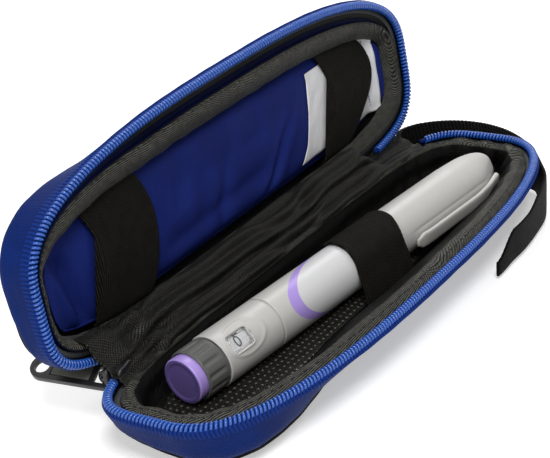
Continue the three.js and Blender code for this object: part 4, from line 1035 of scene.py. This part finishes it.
def turned(name, profile, body, slot, finish, node, shape=None, row_finish=None, round_by=0.35):
    """A piece turned round the pen's axis from a profile of (s, r) pairs; shape changes r by angle."""
    rows = softened_profile(profile, round_by)
    radius = rows[:, 1:2] + np.zeros(len(AROUND))[None]
    if shape is not None:
        radius = shape(rows[:, :1], radius, AROUND[None])
    points = on_pen(rows[:, :1], radius, AROUND[None])
    marks = None if row_finish is None else [row_finish(s, r) for s, r in rows]
    solid = profile[0][1] < 1
    grid(name, points, body, slot, finish, rows_close=not solid, ring=True, caps="rows" if solid else None,
         row_finish=marks, node=node)


def pen_button():
    profile = [(0.35, 0.05), (0.35, 5.6), (0.0, 6.2), (0.0, 7.1), (0.45, 7.6), (5.0, 7.6), (5.0, 3.6),
               (15, 3.6), (15, 0.05)]
    turned("button_body", profile, "button", "lavender_plastic", [LAVENDER, BUTTON_FACE],
           "injection_button", row_finish=lambda s, r: int(s < 0.36 and r < 7.2))


def pen_grip():
    def flutes(s, r, angle):
        wave = np.maximum(0, np.cos(12 * angle)) ** 1.5
        deep = smooth((s - 3.6) / 1.0) * smooth((12.0 - s) / 2.4) * (r > 8.2)
        return r - 0.55 * wave * deep
    profile = [(8.4, 7.9), (3.3, 7.9), (3.25, 8.15)] + [(s, 8.6) for s in (4.0, 6, 8, 10, 12.35)]
    profile += [(12.4, 6.2), (8.4, 6.2)]
    turned("grip_ring", profile, "dose_dial", "grip_plastic", GRIP, "dose_grip", flutes, round_by=0.5)


WINDOW_S, WINDOW_HALF_S, WINDOW_HALF_A = 20.2, 4.5, 0.345
BARREL_START, BARREL_END = 12.7, 92


def pen_barrel():
    fine = [np.linspace(BARREL_START, 13.4, 6), np.linspace(91.3, BARREL_END, 6)]
    window = [WINDOW_S - WINDOW_HALF_S, WINDOW_S + WINDOW_HALF_S]
    s = np.unique(np.concatenate([np.linspace(BARREL_START, BARREL_END, 150), window] + fine))
    over_window = np.linspace(-WINDOW_HALF_A, WINDOW_HALF_A, 19)
    rest = np.linspace(WINDOW_HALF_A, 2 * math.pi - WINDOW_HALF_A, 122)[1:-1]
    angle = np.concatenate([over_window, rest])[None]
    hole = (np.abs((s[:-1] + s[1:]) / 2 - WINDOW_S) < WINDOW_HALF_S)[:, None] & (np.arange(139) < 18)
    s = s[:, None]
    edge = np.clip(np.minimum(s - BARREL_START, BARREL_END - s) / 0.6, 0, 1)
    radius = PEN_RADIUS - 0.5 * (1 - np.sqrt(1 - (1 - edge) ** 2))
    # Waist under the label, and a raised ring round the window
    radius = radius - 0.27 * smooth((s - 37.6) / 0.15) * smooth((88.4 - s) / 0.15)
    flank = ((s - 22.5) / 8.2) ** 2 + (np.angle(np.exp(1j * angle)) / 0.62) ** 2
    radius = radius + 0.28 * bell(flank, 1, 0.16)
    obj = grid("barrel_body", on_pen(s, radius, angle), "pen", "pen_plastic", PEN, ring=True, hole=hole,
               node="pen_barrel")
    wall = obj.modifiers.new("wall", "SOLIDIFY")
    wall.thickness, wall.offset = 1.4 * MM, -1

    # Frame round the window, its lens and the label
    c, n = circle(80)
    frame_s = WINDOW_S + (WINDOW_HALF_S + 0.35) * squared(c, 0.35)
    path = on_pen(frame_s, PEN_RADIUS + 0.03, (WINDOW_HALF_A + 0.04) * squared(n, 0.35))
    ring = tube(np.concatenate([path, path[:2]]), 0.34, 8, PEN_Z)
    joined("window_frame", [ring], "pen", PEN)
    lens_s = np.linspace(window[0] + 0.15, window[1] - 0.15, 24)[:, None]
    lens_a = np.linspace(-WINDOW_HALF_A + 0.02, WINDOW_HALF_A - 0.02, 24)[None]
    layered("window_lens", on_pen(lens_s, 8.62, lens_a), on_pen(lens_s, 7.95, lens_a), "pen", "clear_lens",
            LENS_CLEAR, node="dose_window")
    rows = np.array([(38, 8.78)] + [(v, PEN_RADIUS) for v in np.linspace(38, 88, 101)] + [(88, 8.78)])
    grid("barrel_label", on_pen(rows[:, :1], rows[:, 1:], AROUND[None]), "pen", "white_plastic", PRINT,
         rows_close=True, ring=True, node="pen_label")


def dose_digits():
    """Numbers of the dose scale on the number sleeve, wrapped round it and wound along it."""
    radius = 7.1
    parts_v, parts_f = [], []
    for k, value in enumerate(range(0, 24, 2)):
        font = bpy.data.curves.new("digits", "FONT")
        font.body = str(value)
        font.size, font.align_x, font.align_y = 5.4, "CENTER", "CENTER"
        font.resolution_u = 3
        holder = placed("digits", font)
        bpy.context.view_layer.update()
        mesh = bpy.data.meshes.new_from_object(holder.evaluated_get(bpy.context.evaluated_depsgraph_get()))
        spots = np.array([v.co for v in mesh.vertices])
        base = sum(len(v) for v in parts_v)
        angle = spots[:, 1] / radius + k * math.radians(30)
        parts_v.append(on_pen(WINDOW_S + spots[:, 0] + k * 0.7, radius + 0.04, angle))
        parts_f += [[base + v for v in p.vertices] for p in mesh.polygons]
        bpy.data.objects.remove(holder)
    verts = np.concatenate(parts_v)
    loops = [verts[v][:2] for face in parts_f for v in face]
    make("sleeve_digits", verts, parts_f, loops, "dose_dial", INK)


def pen_cap():
    clip_dir = -0.819 * PEN_Y + 0.574 * PEN_Z
    clip_angle = math.atan2(clip_dir @ PEN_Y, clip_dir @ PEN_Z)

    def form(s, r, angle):
        """Groove beside the clip, and the slanted facet at the tip."""
        off = np.angle(np.exp(1j * (angle - clip_angle)))
        groove = bell(np.abs(off), 0.42, 0.05) * smooth((s - 104) / 8) * smooth((156 - s) / 10)
        facet = 1 - 0.22 * smooth((s - 150) / 12) * smooth(np.cos(off) * 1.2)
        return r * facet - 0.32 * groove * (r > 4)
    profile = [(100, 8.1), (92.35, 8.1), (92.3, 8.6), (92.6, CAP_RADIUS)]
    profile += [(v, CAP_RADIUS) for v in np.linspace(96, 138, 22)]
    nose = flow([(140, CAP_RADIUS), (152, 8.46), (159.7, 6.9), (162.8, 4.73), (163.9, 2.2), (164, 0.1)], 30)
    profile += [tuple(p) for p in nose] + [(162, 0.1), (159, 5.3), (140, 8.1)]
    turned("cap_shell", profile, "cap", "pen_plastic", PEN, "pen_cap", form, round_by=0.2)

    t = np.linspace(0, 1, 70)
    s = 107.4 + t * 51.6
    lift = np.interp(t, (0, 0.03, 0.12, 0.7, 0.88, 1), (9.6, 10.2, 10.6, 10.4, 9.1, 7.2))
    lift = np.convolve(np.pad(lift, 4, "edge"), np.ones(9) / 9, "valid")
    width = 3.1 * np.clip(t / 0.05, 0.25, 1) ** 0.5 * (1 - 0.12 * t)
    thick = np.interp(t, (0, 0.05, 0.8, 1), (0.5, 0.85, 0.95, 1.2))
    c, n = circle(28)
    w = width[:, None] * squared(c, 0.6)
    h = lift[:, None] + thick[:, None] * squared(n, 0.6)
    side_dir = np.cross(PEN_X, clip_dir)
    points = PEN_AT + s[:, None, None] * PEN_X + h[..., None] * clip_dir + w[..., None] * side_dir
    bowl("cap_clip", points, "cap", "pen_plastic", PEN)


def pen_elastic():
    """Band over the pen: hugs the cap end of the barrel and runs down to the floor on both sides."""
    centre_s, half_width, around = 88.9, 12.6, 9.85
    flat_y = unit(np.cross(np.array([0, 0, 1.0]), PEN_X))
    flat_z = np.cross(PEN_X, flat_y)
    hug = np.linspace(-1, 1, 50) * math.radians(80)
    legs = np.array([[-13.0, -9.2], [-12.2, -5.4], [-11.0, -1.6]])
    arc = around * np.stack([np.sin(hug), np.cos(hug)], -1)
    section = np.concatenate([legs, arc, legs[::-1] * [-1, 1]])
    at = np.linspace(0, runs(section)[-1], 110)
    line = resampled(section, at)
    for _ in range(3):
        line[1:-1] = (line[:-2] + 2 * line[1:-1] + line[2:]) / 4
    along = np.gradient(line, axis=0)
    out = unit(np.stack([-along[:, 1], along[:, 0]], -1))
    across = np.linspace(-1, 1, 40)
    selvedge = 0.2 * bell(np.abs(across), 0.93, 0.05)
    skew = np.interp(line[:, 0], (-15, -4, 6, 15), (-3.0, 0.2, 0.6, 0.2))

    def face(lift):
        spot = line[:, None] + out[:, None] * (lift + selvedge * np.sign(lift))[:, None]
        s = centre_s + across * (half_width + 0.25 * np.sin(at / 3.1))[:, None] + skew[:, None]
        return PEN_AT + s[..., None] * PEN_X + spot[..., :1] * flat_y + spot[..., 1:] * flat_z
    layered("pen_band", face(0.34), face(-0.34), "tray", "elastic", ELASTIC, node="pen_elastic")


case_half(TRAY)
case_half(LID)
tray_lining()
lid_lining()
cooling_pad()
pad_label()
lid_elastic("near_band", (-76.5, -71.8, -82.0), (-49.4, -44.4, -53.0), 1.3, "lid_elastic_near")
lid_elastic("far_band", (55.0, 61.8, 49.0), (83.5, 88.6, 67.0), 1.1, "lid_elastic_far")
hinge_cloth()
webbing_strap()
slider()
softened("pull_tab", "pull_frame", "zip_pull", GUNMETAL, 0.5, 4)
softened("pull_pin", "pull_axle", "zip_pull", GUNMETAL, 0.2)
softened("pull_insert", "pull_panel", "zip_pull", PULL_GREY, 0.15)
pen_button()
pen_grip()
pen_barrel()
dose_digits()
pen_cap()
pen_elastic()

for node, finish in {
    "number_sleeve": WHITE, "drive_sleeve": PEN, "lead_screw": STEEL, "screw_nut": PEN,
    "insulin_cartridge": GLASS, "cartridge_stopper": RUBBER, "cartridge_seal": STEEL,
    "cartridge_holder": LENS_CLEAR, "button_spring": STEEL,
}.items():
    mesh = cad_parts[node].data
    mesh.materials.clear()
    mesh.materials.append(finish)

# Floor, backdrop and studio light
world = bpy.data.worlds.new("studio")
bpy.context.scene.world = world
sky = Nodes(world)
back = sky.tree.nodes["Background"].inputs
back[0].default_value = (1, 1, 1, 1)
sky.feed(back[1], sky.math("MULTIPLY_ADD", sky.white_rays(), 0.72, 0.28))

floor_mesh = bpy.data.meshes.new("floor")
floor_mesh.from_pydata([(-6, -6, 0), (6, -6, 0), (6, 6, 0), (-6, 6, 0)], [], [(0, 1, 2, 3)])
floor = placed("floor", floor_mesh)
floor.location.z = -0.0002
paint = Shader("floor", (0.86, 0.86, 0.86), 0.9, gloss=0.1, Emission_Color=(1, 1, 1, 1))
paint.feed(paint.skin["Emission Strength"], paint.times(paint.white_rays(), 0.42))
floor_mesh.materials.append(paint.material)


def lamp(name, at, size, power):
    light = bpy.data.lights.new(name, "AREA")
    light.shape, light.size, light.energy = "DISK", size, power
    obj = placed(name, light)
    obj.location = at
    obj.rotation_euler = (Vector((0, 0, 0.03)) - Vector(at)).to_track_quat("-Z", "Y").to_euler()


lamp("key", (-0.50, -0.45, 0.95), 0.40, 8.0)
lamp("fill", (-0.9, -0.1, 0.35), 0.6, 2.2)
lamp("rim", (0.6, 0.35, 0.8), 0.6, 5.0)

bpy.context.scene.view_settings.view_transform = "Standard"

bpy.context.view_layer.update()
